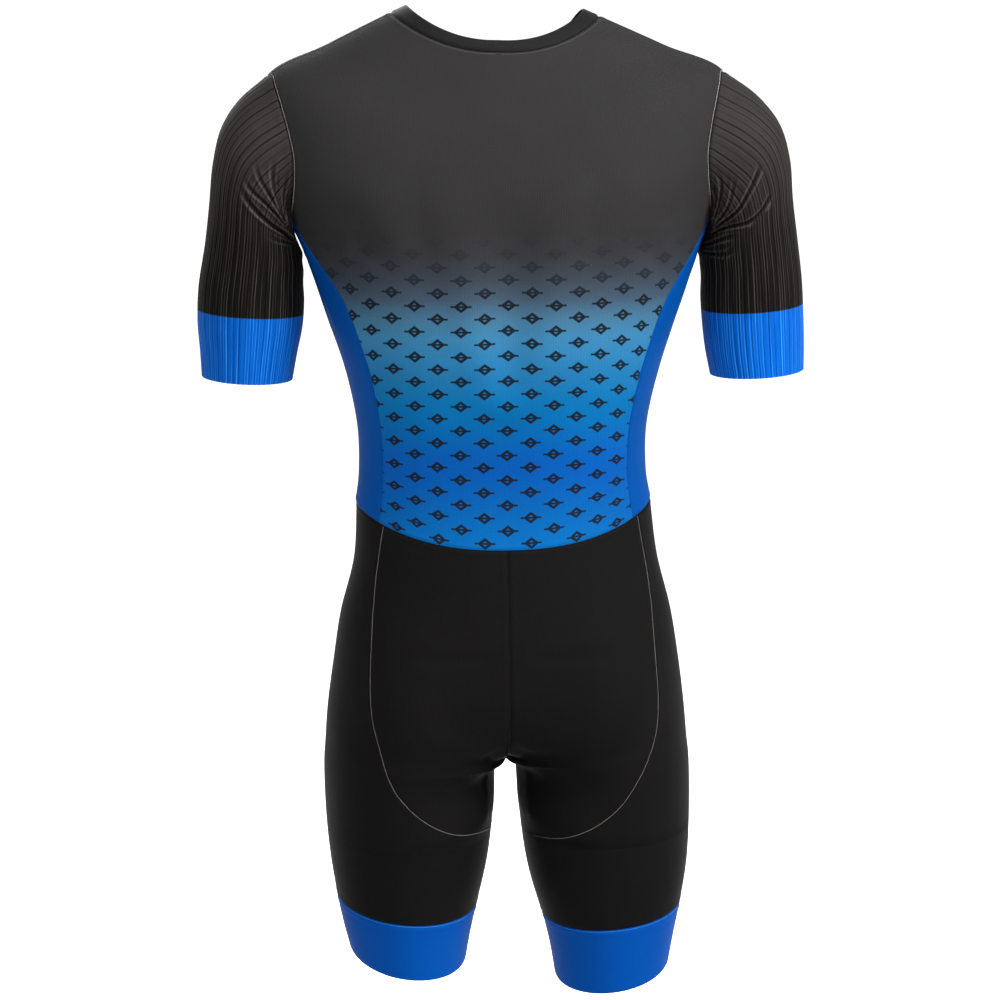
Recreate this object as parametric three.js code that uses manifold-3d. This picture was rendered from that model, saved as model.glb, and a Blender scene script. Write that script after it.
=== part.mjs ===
import * as THREE from 'three'
import { mergeVertices } from 'three/addons/utils/BufferGeometryUtils.js'
import Module from 'manifold-3d'

// All sizes are millimetres. +Z is up, +Y the wearer's front, +X the wearer's right.
// The origin is the middle of the neck opening at the height of the neck's shoulder points.

const wallThickness = 1.5
const seamGap = 0.3
const ribCount = 36
const ribHeight = 0.7
const panelGrow = 1.017
const rowGap = 0.008
const halfGapAngle = 0.06
const halfGapShare = 0.0005
const fullTurn = 360

// Rings of the body from the waist seam up to the rim of the neck.
// Heights are taken at the side, the centre back and the centre front.
const bodyRings = [
  { side: -461, back: -497, front: -474, width: 140, shift: 1, rear: 87, fore: 90, full: 2.3, rightDrop: 0 },
  { side: -431, back: -442, front: -436, width: 136, shift: 0.6, rear: 82, fore: 90, full: 2.3, rightDrop: 0 },
  { side: -388, back: -390, front: -388, width: 137, shift: 0.8, rear: 88, fore: 94, full: 2.3, rightDrop: 0 },
  { side: -338, back: -338, front: -338, width: 147.5, shift: 1.8, rear: 98, fore: 102, full: 2.3, rightDrop: 0 },
  { side: -288, back: -290, front: -290, width: 163.5, shift: 2, rear: 106, fore: 108, full: 2.35, rightDrop: 0 },
  { side: -240, back: -248, front: -248, width: 179, shift: 2.4, rear: 111, fore: 110, full: 2.4, rightDrop: 0 },
  { side: -190, back: -205, front: -208, width: 198, shift: 1, rear: 113, fore: 106, full: 2.4, rightDrop: 0 },
  { side: -130, back: -162, front: -170, width: 216, shift: 0, rear: 110, fore: 98, full: 2.28, rightDrop: 0 },
  { side: -64, back: -118, front: -134, width: 214, shift: -1, rear: 99, fore: 84, full: 2.1, rightDrop: 1 },
  { side: -33, back: -80, front: -106, width: 156, shift: -1, rear: 83, fore: 68, full: 2.1, rightDrop: 4 },
  { side: -5, back: -42, front: -84, width: 97, shift: -2, rear: 68, fore: 54, full: 2.15, rightDrop: 5 },
  { side: 2, back: -31, front: -71, width: 82, shift: -2, rear: 62, fore: 48, full: 2.2, rightDrop: 5 },
]
const neckSeam = 10
const rimRow = 11

// How late the rings fall from the side to the centre; the front of the neck keeps high for longer.
const rimFall = 2
const frontFall = 0.8
const frontFallStart = 8

// Angle round the body of the back seam of the side panel, by body ring.
const sidePanelSeam = [
  { row: 0, angle: 56 },
  { row: 1, angle: 55 },
  { row: 3, angle: 55.5 },
  { row: 4, angle: 56.3 },
  { row: 4.5, angle: 58.5 },
  { row: 4.9, angle: 63 },
  { row: 5.3, angle: 69 },
  { row: 5.98, angle: 79 },
]

// The armhole, every sixteenth of a turn from the shoulder point over the back and the underarm to the front.
const armholeLoop = [
  { angle: 82, row: 8.1 },
  { angle: 70.5, row: 7.94 },
  { angle: 63.7, row: 7.68 },
  { angle: 60.2, row: 7.36 },
  { angle: 59.5, row: 7.0 },
  { angle: 62.4, row: 6.64 },
  { angle: 68.9, row: 6.3 },
  { angle: 79, row: 5.98 },
  { angle: 90, row: 5.74 },
  { angle: 101, row: 5.98 },
  { angle: 112, row: 6.3 },
  { angle: 118.5, row: 6.64 },
  { angle: 121.5, row: 7.0 },
  { angle: 120.5, row: 7.36 },
  { angle: 115.5, row: 7.68 },
  { angle: 103, row: 7.94 },
]

// Rings of the sleeves from the armhole to the hem.
// Each ring has its underarm and its outer point on both sides, and a depth from back to front.
const sleeveRings = [
  { underLeft: 188, underRight: 191, underZ: -216, outLeft: 214, outRight: 214, outZ: -64, depth: 70, curve: 0.8 },
  { underLeft: 188, underRight: 191, underZ: -227, outLeft: 241, outRight: 244, outZ: -85, depth: 68, curve: 0.8 },
  { underLeft: 187, underRight: 190, underZ: -228.5, outLeft: 258, outRight: 264, outZ: -110, depth: 66, curve: 0.82 },
  { underLeft: 185.5, underRight: 189.5, underZ: -233, outLeft: 266, outRight: 273, outZ: -142, depth: 64, curve: 0.86 },
  { underLeft: 183.5, underRight: 190, underZ: -242, outLeft: 270, outRight: 276, outZ: -179, depth: 61, curve: 0.9 },
  { underLeft: 184, underRight: 191, underZ: -255, outLeft: 275, outRight: 281, outZ: -216, depth: 58, curve: 0.95 },
  { underLeft: 183.5, underRight: 190.5, underZ: -272, outLeft: 282, outRight: 286, outZ: -255, depth: 55, curve: 1 },
  { underLeft: 185.5, underRight: 192, underZ: -295, outLeft: 284, outRight: 288, outZ: -288, depth: 52, curve: 1 },
  { underLeft: 191, underRight: 195, underZ: -320, outLeft: 282.5, outRight: 289, outZ: -315, depth: 49, curve: 1 },
  { underLeft: 196, underRight: 200, underZ: -345, outLeft: 281.5, outRight: 289, outZ: -340, depth: 47, curve: 1 },
]
const sleeveEnd = 9
const rightHemRise = -2
const rightRiseStart = 3
const armLean = 0.05
const armLeanRow = 5
const armLeanTop = -120
const armholePullRows = 4

// Rings of the shorts from the waist seam over the leg band's seam to the hem.
// The column named merge goes from half a body (0) to a closed leg (1), seat is the fullness behind each leg.
const shortsRings = [
  { outZ: -461, backZ: -497, frontZ: -474, outLeft: 138, outRight: 140.5, inLeft: 0.2, inRight: 0.2,
    rear: 87, fore: 90, seat: 0, full: 2.3, merge: 0, tilt: 0 },
  { outZ: -515, backZ: -547, frontZ: -530, outLeft: 141.5, outRight: 147, inLeft: 0.2, inRight: 0.2,
    rear: 96, fore: 91, seat: 1, full: 2.3, merge: 0, tilt: 0 },
  { outZ: -567, backZ: -600, frontZ: -580, outLeft: 155, outRight: 159.5, inLeft: 0.2, inRight: 0.2,
    rear: 104, fore: 91, seat: 6, full: 2.35, merge: 0, tilt: 0 },
  { outZ: -615, backZ: -652, frontZ: -628, outLeft: 163, outRight: 167, inLeft: 0.2, inRight: 0.2,
    rear: 107, fore: 90, seat: 13, full: 2.4, merge: 0.06, tilt: 0 },
  { outZ: -656, backZ: -690, frontZ: -680, outLeft: 169, outRight: 172, inLeft: 0.3, inRight: 0.3,
    rear: 105, fore: 88, seat: 17, full: 2.4, merge: 0.36, tilt: 0 },
  { outZ: -690, backZ: -708, frontZ: -708, outLeft: 172, outRight: 175, inLeft: 0.3, inRight: 0.3,
    rear: 100, fore: 85, seat: 15, full: 2.4, merge: 1, tilt: 0 },
  { outZ: -718, backZ: -717, frontZ: -717, outLeft: 173.8, outRight: 177.5, inLeft: 10.5, inRight: 11,
    rear: 96, fore: 82, seat: 0, full: 2.4, merge: 1, tilt: 0 },
  { outZ: -764, backZ: -766, frontZ: -766, outLeft: 172.8, outRight: 178, inLeft: 12.3, inRight: 14,
    rear: 91, fore: 78, seat: 0, full: 2.4, merge: 1, tilt: 0 },
  { outZ: -806, backZ: -812, frontZ: -812, outLeft: 169.5, outRight: 176, inLeft: 17.5, inRight: 21,
    rear: 85, fore: 74, seat: 0, full: 2.4, merge: 1, tilt: 0 },
  { outZ: -845, backZ: -857, frontZ: -857, outLeft: 164, outRight: 169.5, inLeft: 27.5, inRight: 34.5,
    rear: 78, fore: 69, seat: 0, full: 2.4, merge: 1, tilt: 0.03 },
  { outZ: -872, backZ: -886, frontZ: -886, outLeft: 159, outRight: 163.5, inLeft: 34, inRight: 42,
    rear: 71, fore: 64, seat: 0, full: 2.4, merge: 1, tilt: 0.08 },
  { outZ: -899, backZ: -914, frontZ: -914, outLeft: 152.5, outRight: 158, inLeft: 39, inRight: 47,
    rear: 65, fore: 60, seat: 0, full: 2.4, merge: 1, tilt: 0.12 },
]
const legBandSeam = 9
const legHem = 11
const rightLegDrop = 11
const rightBandDrop = 6
const rightDropStart = 6.5
const legLean = { left: 0.09, right: 0.02 }
const legLeanTop = -700
const seatPlace = 0.2
const seatSpread = 0.12

// The curved seam of each seat panel, as a share of the way from the centre back to the centre front.
const seatSeam = [
  { row: 0, Left: 0.294, Right: 0.334 },
  { row: 0.5, Left: 0.309, Right: 0.343 },
  { row: 1, Left: 0.317, Right: 0.349 },
  { row: 1.5, Left: 0.305, Right: 0.336 },
  { row: 2, Left: 0.289, Right: 0.317 },
  { row: 2.7, Left: 0.28, Right: 0.307 },
  { row: 3.4, Left: 0.278, Right: 0.311 },
  { row: 4, Left: 0.279, Right: 0.318 },
  { row: 4.4, Left: 0.291, Right: 0.327 },
  { row: 4.7, Left: 0.301, Right: 0.332 },
  { row: 5, Left: 0.304, Right: 0.331 },
  { row: 5.3, Left: 0.297, Right: 0.322 },
  { row: 5.6, Left: 0.289, Right: 0.313 },
  { row: 6, Left: 0.275, Right: 0.297 },
  { row: 6.4, Left: 0.247, Right: 0.273 },
  { row: 6.7, Left: 0.211, Right: 0.243 },
  { row: 6.95, Left: 0.159, Right: 0.202 },
  { row: 7.15, Left: 0.077, Right: 0.148 },
  { row: 7.3, Left: 0.027, Right: 0.049 },
]

// Steps of the walls' grids, across and up
const backColumns = 18
const frontColumns = 8
const sideColumns = 8
const collarColumns = 32
const seatColumns = 8
const legColumns = 14
const bandColumns = 28
const lowBodySteps = 8
const chestSteps = 6
const yokeSteps = 3
const seatSteps = 9
const chainSteps = 22
const sleevePlaces = [0.04, 0.5, 1, 1.6, 2.3, 3.1, 4, 5.2, 6.5, 7.8, 9]
const collarRows = [10.35, 10.7]
const lowSeatRows = [5.6, 6, 6.4, 6.7, 6.95, 7.15, 7.3]
const seatEnd = 7.3
const thighRows = [7.32, 7.85, 8.4]
const bandMiddle = 10

// Front zip
const frontEdge = 5
const chainHalfWidth = 2.2
const chainProud = 0.5
const chainThickness = 2.6
const tapeOuterEdge = 15
const tapeThickness = 0.9
const zipBottom = 0.25
const zipTop = 10.9
const sliderRow = 10.35
const sliderLength = 10
const sliderWidth = 8
const sliderDepth = 4.4
const bridgeWidth = 1.8
const bridgeLength = 6.4
const bridgeHeight = 2.6
const bridgeBar = 0.8
const pullLength = 24
const pullWidth = 6.6
const pullThickness = 1.2
const pullSolidStart = 4.6
const pullArm = 1.5
const pullRest = 8

const wasm = await Module()
wasm.setup()

function material(color, roughness, metalness = 0) {
  return new THREE.MeshStandardMaterial({ color, roughness, metalness })
}

const looks = {
  back: () => material('#1d4a86', 0.7),
  front: () => material('#1c3358', 0.7),
  side: () => material('#0c49b4', 0.7),
  black: () => material('#1b1a1b', 0.75),
  rib: () => material('#2b2827', 0.85),
  band: () => material('#00489f', 0.6),
  collar: () => material('#1b1a1b', 0.75),
  tape: () => material('#1c1c1e', 0.8),
  chain: () => material('#26262a', 0.45),
  metal: () => material('#3a3b40', 0.35, 1),
}

const group = new THREE.Group()
group.name = 'speed_skating_suit'

function addMesh(name, geometry, look) {
  const mesh = new THREE.Mesh(geometry, look())
  mesh.name = name
  group.add(mesh)
}

// A smooth curve through one column of a table.
function along(table, column, position, closed = false) {
  const count = table.length
  const last = closed ? count : count - 1
  const start = closed ? Math.floor(position) : Math.min(Math.max(Math.floor(position), 0), last - 1)
  const part = position - start
  const pick = (index) => {
    if (closed) return table[((index % count) + count) % count][column]
    if (index < 0) return 2 * table[0][column] - table[1][column]
    if (index >= count) return 2 * table[count - 1][column] - table[count - 2][column]
    return table[index][column]
  }
  const [a, b, c, d] = [pick(start - 1), pick(start), pick(start + 1), pick(start + 2)]
  const curve = (2 * a - 5 * b + 4 * c - d) * part ** 2 + (3 * b - a - 3 * c + d) * part ** 3
  return 0.5 * (2 * b + (c - a) * part + curve)
}

// Straight steps between a table's rows, found by its own row column.
function between(table, key, column, value) {
  if (value <= table[0][key]) return table[0][column]
  for (let i = 1; i < table.length; i++) {
    if (value > table[i][key]) continue
    const part = (value - table[i - 1][key]) / (table[i][key] - table[i - 1][key])
    return table[i - 1][column] + part * (table[i][column] - table[i - 1][column])
  }
  return table[table.length - 1][column]
}

const power = (value, exponent) => Math.sign(value) * Math.abs(value) ** exponent

function bodyPoint(angle, row, side = 1) {
  const get = (column) => along(bodyRings, column, row)
  const turn = THREE.MathUtils.degToRad(angle)
  const exponent = 2 / get('full')
  const across = power(Math.sin(turn), exponent)
  const deep = Math.abs(Math.cos(turn)) ** exponent
  const behind = Math.cos(turn) > 0
  const x = side * get('width') * across + get('shift')
  const y = behind ? -get('rear') * deep : get('fore') * deep
  const end = behind ? get('back') : get('front')
  const drop = side > 0 ? get('rightDrop') * across : 0
  const steep = behind ? rimFall : rimFall + frontFall * THREE.MathUtils.smoothstep(row, frontFallStart, neckSeam)
  return new THREE.Vector3(x, y, get('side') + (end - get('side')) * deep ** steep - drop)
}

// The panels' side of the armhole is a little larger than the sleeve's side.
const armholeMiddle = { angle: 90, row: 6.9 }

function armhole(turn, grow = 1) {
  const place = turn / (fullTurn / armholeLoop.length)
  const angle = along(armholeLoop, 'angle', place, true) - armholeMiddle.angle
  const row = along(armholeLoop, 'row', place, true) - armholeMiddle.row
  return { angle: armholeMiddle.angle + grow * angle, row: armholeMiddle.row + grow * row }
}

// Angle of the armhole's back or front half at a body row.
function armholeAngle(row, front) {
  let low = front ? 360 : 0
  let high = 180
  for (let i = 0; i < 40; i++) {
    const middle = (low + high) / 2
    if (armhole(middle, panelGrow).row > row) low = middle
    else high = middle
  }
  return armhole((low + high) / 2, panelGrow).angle
}

function sleeveCentre(place, turn, sideName) {
  const get = (column) => along(sleeveRings, column, place)
  const share = (1 + Math.cos(turn)) / 2
  const under = get('under' + sideName)
  const out = get('out' + sideName)
  const rise = sideName === 'Right' ? rightHemRise * THREE.MathUtils.smoothstep(place, rightRiseStart, sleeveEnd) : 0
  return new THREE.Vector3(
    under + (out - under) * share,
    -get('depth') * power(Math.sin(turn), get('curve')),
    get('underZ') + (get('outZ') - get('underZ')) * share + rise,
  )
}

// Soft folds that fan from the underarm into the back and the front of each sleeve.
const sleeveFolds = [
  { fromTurn: 140, fromPlace: 0.3, toTurn: 78, toPlace: 1.1, width: 7, height: -2.6 },
  { fromTurn: 150, fromPlace: 0.6, toTurn: 88, toPlace: 2.1, width: 7, height: 2.4 },
  { fromTurn: 156, fromPlace: 1.2, toTurn: 100, toPlace: 3.2, width: 8, height: -2.2 },
  { fromTurn: 222, fromPlace: 0.3, toTurn: 285, toPlace: 1.2, width: 7, height: -2.4 },
  { fromTurn: 208, fromPlace: 0.9, toTurn: 268, toPlace: 2.6, width: 8, height: 2.2 },
]

function foldHeight(turn, place) {
  let sum = 0
  for (const fold of sleeveFolds) {
    const run = { x: fold.toTurn - fold.fromTurn, y: 20 * (fold.toPlace - fold.fromPlace) }
    const at = { x: turn - fold.fromTurn, y: 20 * (place - fold.fromPlace) }
    const length = Math.hypot(run.x, run.y)
    const share = (at.x * run.x + at.y * run.y) / length ** 2
    const off = (at.x * run.y - at.y * run.x) / length
    const fade = THREE.MathUtils.smoothstep(share, -0.05, 0.2) * (1 - THREE.MathUtils.smoothstep(share, 0.6, 1.1))
    sum += fold.height * fade * Math.exp(-((off / fold.width) ** 2))
  }
  return sum
}

function sleevePoint(turn, place, side) {
  const sideName = side > 0 ? 'Right' : 'Left'
  const radians = THREE.MathUtils.degToRad(turn)
  const point = sleeveCentre(place, radians, sideName)
  const seam = armhole(turn)
  const loop = bodyPoint(seam.angle, seam.row, side)
  loop.x *= side
  const pull = Math.max(1 - place / armholePullRows, 0) ** 2
  point.add(loop.sub(sleeveCentre(0, radians, sideName)).multiplyScalar(pull))
  point.z += armLean * Math.min(place / armLeanRow, 1) * point.y
  point.y += armLean * Math.max(armLeanTop - point.z, 0)
  point.x *= side
  return point
}

function legPoint(share, row, side) {
  const get = (column) => along(shortsRings, column, row)
  const sideName = side > 0 ? 'Right' : 'Left'
  const lean = side > 0 ? legLean.right : legLean.left
  const out = get('out' + sideName)
  const inner = Math.max(get('in' + sideName), 0.2)
  const merge = THREE.MathUtils.clamp(get('merge'), 0, 1)
  const exponent = 2 / get('full')
  const half = Math.PI * share
  const whole = Math.PI * (2 * share - 1)
  const depth = share < 0.5 ? get('rear') : get('fore')
  const deep = Math.abs(Math.cos(half)) ** exponent
  const halfX = inner + (out - inner) * power(Math.sin(half), exponent)
  const bulge = Math.exp(-(((share - seatPlace) / seatSpread) ** 2))
  const fullness = get('seat') * bulge * THREE.MathUtils.smoothstep(share, 0, 0.15)
  const halfY = share < 0.5 ? -depth * deep - fullness : depth * deep
  const wholeX = inner + (out - inner) * (1 + Math.cos(whole)) / 2
  const wholeY = depth * Math.sin(whole)
  const x = (1 - merge) * halfX + merge * wholeX
  const y = (1 - merge) * halfY + merge * wholeY
  const endShare = (1 - merge) * deep ** 2 + merge * (1 - Math.cos(whole)) / 2
  const end = share < 0.5 ? get('backZ') : get('frontZ')
  const low = THREE.MathUtils.smoothstep(row, rightDropStart, legBandSeam)
  const bandLow = THREE.MathUtils.clamp((row - legBandSeam) / (legHem - legBandSeam), 0, 1)
  const drop = side > 0 ? rightLegDrop * low + rightBandDrop * bandLow : 0
  let z = get('outZ') + (end - get('outZ')) * endShare - drop
  z += (get('tilt') + lean * merge) * y
  return new THREE.Vector3(side * x, y + lean * Math.max(legLeanTop - z, 0), z)
}

const step = 0.02

// Outward direction of a surface, from its two parameters.
function normalOf(surface, a, b, flip, stepA = step, stepB = step) {
  const alongA = surface(a + stepA, b).sub(surface(a - stepA, b))
  const alongB = surface(a, b + stepB).sub(surface(a, b - stepB))
  return alongA.cross(alongB).normalize().multiplyScalar(flip)
}

const body = {
  point: bodyPoint,
  normal: (angle, row, side) => {
    const near = Math.min(Math.max(angle, 0.6), 179.4)
    return normalOf((a, b) => bodyPoint(a, b, side), near, row, side, 0.4)
  },
}
const leg = {
  point: legPoint,
  normal: (share, row, side) => {
    const near = Math.min(Math.max(share, 0.004), 0.996)
    return normalOf((a, b) => legPoint(a, b, side), near, row, -side, 0.003)
  },
}
const sleeve = {
  point: sleevePoint,
  normal: (turn, place, side) => {
    const own = normalOf((a, b) => sleevePoint(a, b, side), turn, Math.max(place, 0.05), side, 0.5)
    const seam = armhole(turn)
    const shared = body.normal(seam.angle, seam.row, side)
    const agree = Math.max(own.dot(shared), 0)
    return own.lerp(shared, 0.75 * agree * (1 - THREE.MathUtils.smoothstep(place, 0, 1.2))).normalize()
  },
}

// Closed cloth wall over a grid of outer points and, on every few columns, inner points.
function wall(columns, rows, at, { ring = false, innerEvery = 1, mirrored = false } = {}) {
  const outer = []
  const inner = []
  const positions = []
  const index = []
  const lastColumn = ring ? columns - 1 : columns
  const push = (point) => {
    positions.push(point.x, point.y, point.z)
    return positions.length / 3 - 1
  }
  for (let j = 0; j <= rows; j++) {
    outer.push([])
    inner.push([])
    for (let i = 0; i <= lastColumn; i++) {
      const place = at(i, j)
      outer[j].push(push(place.outer))
      if (i % innerEvery === 0) inner[j].push(push(place.inner))
    }
  }
  const face = (a, b, c) => (mirrored ? index.push(a, c, b) : index.push(a, b, c))
  const quad = (a, b, c, d) => {
    face(a, b, c)
    face(a, c, d)
  }
  const innerColumns = columns / innerEvery
  const wrap = (list, i) => (ring ? list[i % list.length] : list[i])
  for (let j = 0; j < rows; j++) {
    for (let i = 0; i < columns; i++) {
      quad(wrap(outer[j], i), wrap(outer[j], i + 1), wrap(outer[j + 1], i + 1), wrap(outer[j + 1], i))
    }
    for (let i = 0; i < innerColumns; i++) {
      quad(wrap(inner[j], i + 1), wrap(inner[j], i), wrap(inner[j + 1], i), wrap(inner[j + 1], i + 1))
    }
  }
  for (const [j, near] of [[0, true], [rows, false]]) {
    for (let i = 0; i < innerColumns; i++) {
      const middle = Math.floor(innerEvery / 2)
      const [a, b] = [wrap(inner[j], i), wrap(inner[j], i + 1)]
      const tri = (p, q, r) => (near ? face(p, r, q) : face(p, q, r))
      for (let k = 0; k < innerEvery; k++) {
        const [p, q] = [wrap(outer[j], i * innerEvery + k), wrap(outer[j], i * innerEvery + k + 1)]
        tri(p, q, k <= middle - 1 ? a : b)
      }
      tri(a, wrap(outer[j], i * innerEvery + middle), b)
    }
  }
  if (!ring) {
    for (let j = 0; j < rows; j++) {
      quad(outer[j][0], outer[j + 1][0], inner[j + 1][0], inner[j][0])
      const [last, lastInner] = [columns, innerColumns]
      quad(outer[j + 1][last], outer[j][last], inner[j][lastInner], inner[j + 1][lastInner])
    }
  }
  const geometry = new THREE.BufferGeometry()
  geometry.setAttribute('position', new THREE.Float32BufferAttribute(positions, 3))
  geometry.setIndex(index)
  geometry.computeVertexNormals()
  return geometry
}

// A piece of a surface between two edges, row by row.
function piece(name, look, surface, side, options) {
  const { columns, rowList, from, to, lift = 0, thickness = wallThickness, flip = false } = options
  const geometry = wall(columns, rowList.length - 1, (i, j) => {
    const row = rowList[j]
    const first = from(row)
    const second = to(row)
    const here = first + (second - first) * (i / columns)
    const sideHere = side === 0 ? (here < 0 ? -1 : 1) : side
    const angle = side === 0 ? Math.abs(here) : here
    const point = surface.point(angle, row, sideHere)
    const out = surface.normal(angle, row, sideHere)
    return {
      outer: point.clone().addScaledVector(out, lift),
      inner: point.clone().addScaledVector(out, lift - thickness),
    }
  }, { mirrored: flip })
  addMesh(name, geometry, look)
}

const spread = (from, to, count) => Array.from({ length: count + 1 }, (_, i) => from + (to - from) * i / count)

// Angle from the centre that gives a distance from the middle line.
function angleAt(row, distance) {
  const share = distance / along(bodyRings, 'width', row)
  return THREE.MathUtils.radToDeg(Math.asin(share ** (along(bodyRings, 'full', row) / 2)))
}

const underarmTurn = 157.5
const underarm = armhole(underarmTurn, panelGrow)
const shoulder = armhole(0, panelGrow)

function backEdge(row) {
  if (row < underarm.row) return between(sidePanelSeam, 'row', 'angle', row) - halfGapAngle
  if (row < shoulder.row) return armholeAngle(row, false)
  return shoulder.angle - halfGapAngle
}

function frontEdgeAngle(row) {
  if (row < underarm.row) return 180 - between(sidePanelSeam, 'row', 'angle', row) + halfGapAngle
  if (row < shoulder.row) return armholeAngle(row, true)
  return shoulder.angle + halfGapAngle
}

const bodyRows = [
  ...spread(0, 5.3, lowBodySteps),
  underarm.row,
  ...spread(underarm.row + 0.25, 7.85, chestSteps),
  shoulder.row - 0.14, shoulder.row - 0.05, shoulder.row,
  ...spread(8.8, neckSeam, yokeSteps),
]
bodyRows[0] += rowGap
bodyRows[bodyRows.length - 1] -= rowGap

piece('back_panel', looks.back, body, 0, {
  columns: backColumns,
  rowList: bodyRows,
  from: (row) => -backEdge(row),
  to: (row) => backEdge(row),
})
for (const side of [1, -1]) {
  const name = side > 0 ? 'right' : 'left'
  piece('front_' + name, looks.front, body, side, {
    columns: frontColumns,
    rowList: bodyRows,
    from: frontEdgeAngle,
    to: (row) => 180 - angleAt(row, frontEdge),
    flip: side < 0,
  })
}

// Side panels end under the arm along the lowest part of the armhole.
for (const side of [1, -1]) {
  const name = side > 0 ? 'right' : 'left'
  const columns = sideColumns
  const levels = bodyRows.filter((row) => row <= underarm.row).map((row) => row / underarm.row)
  const rows = levels.length - 1
  const geometry = wall(columns, rows, (i, j) => {
    const part = i / columns
    const top = armhole(underarmTurn + (fullTurn - 2 * underarmTurn) * part, panelGrow)
    const row = top.row * levels[j]
    const seam = between(sidePanelSeam, 'row', 'angle', row)
    const edge = seam + (180 - 2 * seam) * part
    const near = THREE.MathUtils.smoothstep(levels[j], 0.6, 1)
    const topSeam = between(sidePanelSeam, 'row', 'angle', top.row)
    const straight = edge + (top.angle - topSeam - (180 - 2 * topSeam) * part) * near
    const inset = halfGapAngle * (1 - 2 * part)
    const angle = straight + inset
    const point = bodyPoint(angle, row, side)
    return { outer: point, inner: point.clone().addScaledVector(body.normal(angle, row, side), -wallThickness) }
  }, { mirrored: side < 0 })
  addMesh('side_panel_' + name, geometry, looks.side)
}

// Neck band in one piece from the zip round the back to the zip.
const collarEdge = (row) => 180 - angleAt(row, frontEdge)
piece('collar', looks.collar, body, 0, {
  columns: collarColumns,
  rowList: [neckSeam + rowGap * 4, ...collarRows, rimRow],
  from: (row) => -collarEdge(row),
  to: collarEdge,
})

// Ribbed sleeves
for (const side of [1, -1]) {
  const name = side > 0 ? 'right' : 'left'
  const perRib = 3
  const columns = ribCount * perRib
  const offsets = [-0.34, 0.34, 0.5]
  const heights = [1, 1, 0]
  const geometry = wall(columns, sleevePlaces.length - 1, (i, j) => {
    const rib = Math.floor(i / perRib)
    const turn = ((rib + offsets[i % perRib]) * fullTurn) / ribCount
    const place = sleevePlaces[j]
    const point = sleevePoint(turn, place, side)
    const out = sleeve.normal(turn, place, side)
    const fold = foldHeight((turn + fullTurn) % fullTurn, place)
    const ribRise = heights[i % perRib] * THREE.MathUtils.smoothstep(place, 0, 0.6)
    return {
      outer: point.clone().addScaledVector(out, ribHeight * (ribRise - 1) + fold),
      inner: point.clone().addScaledVector(out, fold - wallThickness - ribHeight / 2),
    }
  }, { ring: true, innerEvery: perRib, mirrored: side < 0 })
  addMesh('sleeve_' + name, geometry, looks.rib)
}

// Shorts
const seatRows = [...spread(0, 5, seatSteps), ...lowSeatRows]
const legRows = [...seatRows, ...thighRows, legBandSeam]
seatRows[0] += rowGap
legRows[0] += rowGap
legRows[legRows.length - 1] -= rowGap

for (const side of [1, -1]) {
  const name = side > 0 ? 'right' : 'left'
  const seamShare = (row) => between(seatSeam, 'row', side > 0 ? 'Right' : 'Left', row)
  piece('seat_' + name, looks.black, leg, side, {
    columns: seatColumns,
    rowList: seatRows,
    from: () => halfGapShare,
    to: (row) => seamShare(row) - halfGapShare,
    flip: side > 0,
  })
  piece('leg_' + name, looks.black, leg, side, {
    columns: legColumns,
    rowList: legRows,
    from: (row) => (row > seatEnd ? halfGapShare : seamShare(row) + halfGapShare),
    to: () => 1 - halfGapShare,
    flip: side > 0,
  })
  const bandRows = [legBandSeam + rowGap, bandMiddle, legHem]
  const geometry = wall(bandColumns, bandRows.length - 1, (i, j) => {
    const share = i / bandColumns
    const point = legPoint(share, bandRows[j], side)
    const out = leg.normal(share, bandRows[j], side)
    return { outer: point, inner: point.clone().addScaledVector(out, -wallThickness) }
  }, { ring: true, mirrored: side > 0 })
  addMesh('leg_band_' + name, geometry, looks.band)
}

// Zip tapes behind the edges of the fronts, and the closed row of teeth between them
const zipRows = [zipBottom, ...bodyRows.filter((row) => row > zipBottom), ...collarRows, zipTop]
for (const side of [1, -1]) {
  const name = side > 0 ? 'right' : 'left'
  piece('zip_tape_' + name, looks.tape, body, side, {
    columns: 1,
    rowList: zipRows,
    from: (row) => 180 - angleAt(row, tapeOuterEdge),
    to: (row) => 180 - angleAt(row, chainHalfWidth + seamGap),
    lift: -wallThickness - 1.5 * seamGap,
    thickness: tapeThickness,
    flip: side < 0,
  })
}

const sliderCentre = bodyPoint(180, sliderRow)
const sliderUp = bodyPoint(180, sliderRow + 0.2).sub(bodyPoint(180, sliderRow - 0.2)).normalize()

function centreStrip(name, look, rowList, halfWidth, lift, thickness) {
  const geometry = wall(1, rowList.length - 1, (i, j) => {
    const point = bodyPoint(180, rowList[j])
    const up = bodyPoint(180, rowList[j] + 0.1).sub(bodyPoint(180, rowList[j] - 0.1)).normalize()
    const out = new THREE.Vector3(0, up.z, -up.y)
    const shifted = point.clone()
    shifted.x += i === 0 ? halfWidth : -halfWidth
    return {
      outer: shifted.clone().addScaledVector(out, lift),
      inner: shifted.clone().addScaledVector(out, lift - thickness),
    }
  })
  addMesh(name, geometry, look)
}

let chainTop = sliderRow
while (bodyPoint(180, chainTop).distanceTo(sliderCentre) < sliderLength / 2 + seamGap) chainTop -= 0.005
centreStrip('zip_chain', looks.chain, spread(zipBottom, chainTop, chainSteps), chainHalfWidth, chainProud, chainThickness)

function toManifold(geometry) {
  const bare = new THREE.BufferGeometry()
  bare.setAttribute('position', geometry.getAttribute('position').clone())
  if (geometry.index) bare.setIndex(geometry.index.clone())
  const merged = mergeVertices(bare, 1e-5)
  return new wasm.Manifold(new wasm.Mesh({
    numProp: 3,
    vertProperties: new Float32Array(merged.getAttribute('position').array),
    triVerts: new Uint32Array(merged.index.array),
  }))
}

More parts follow.
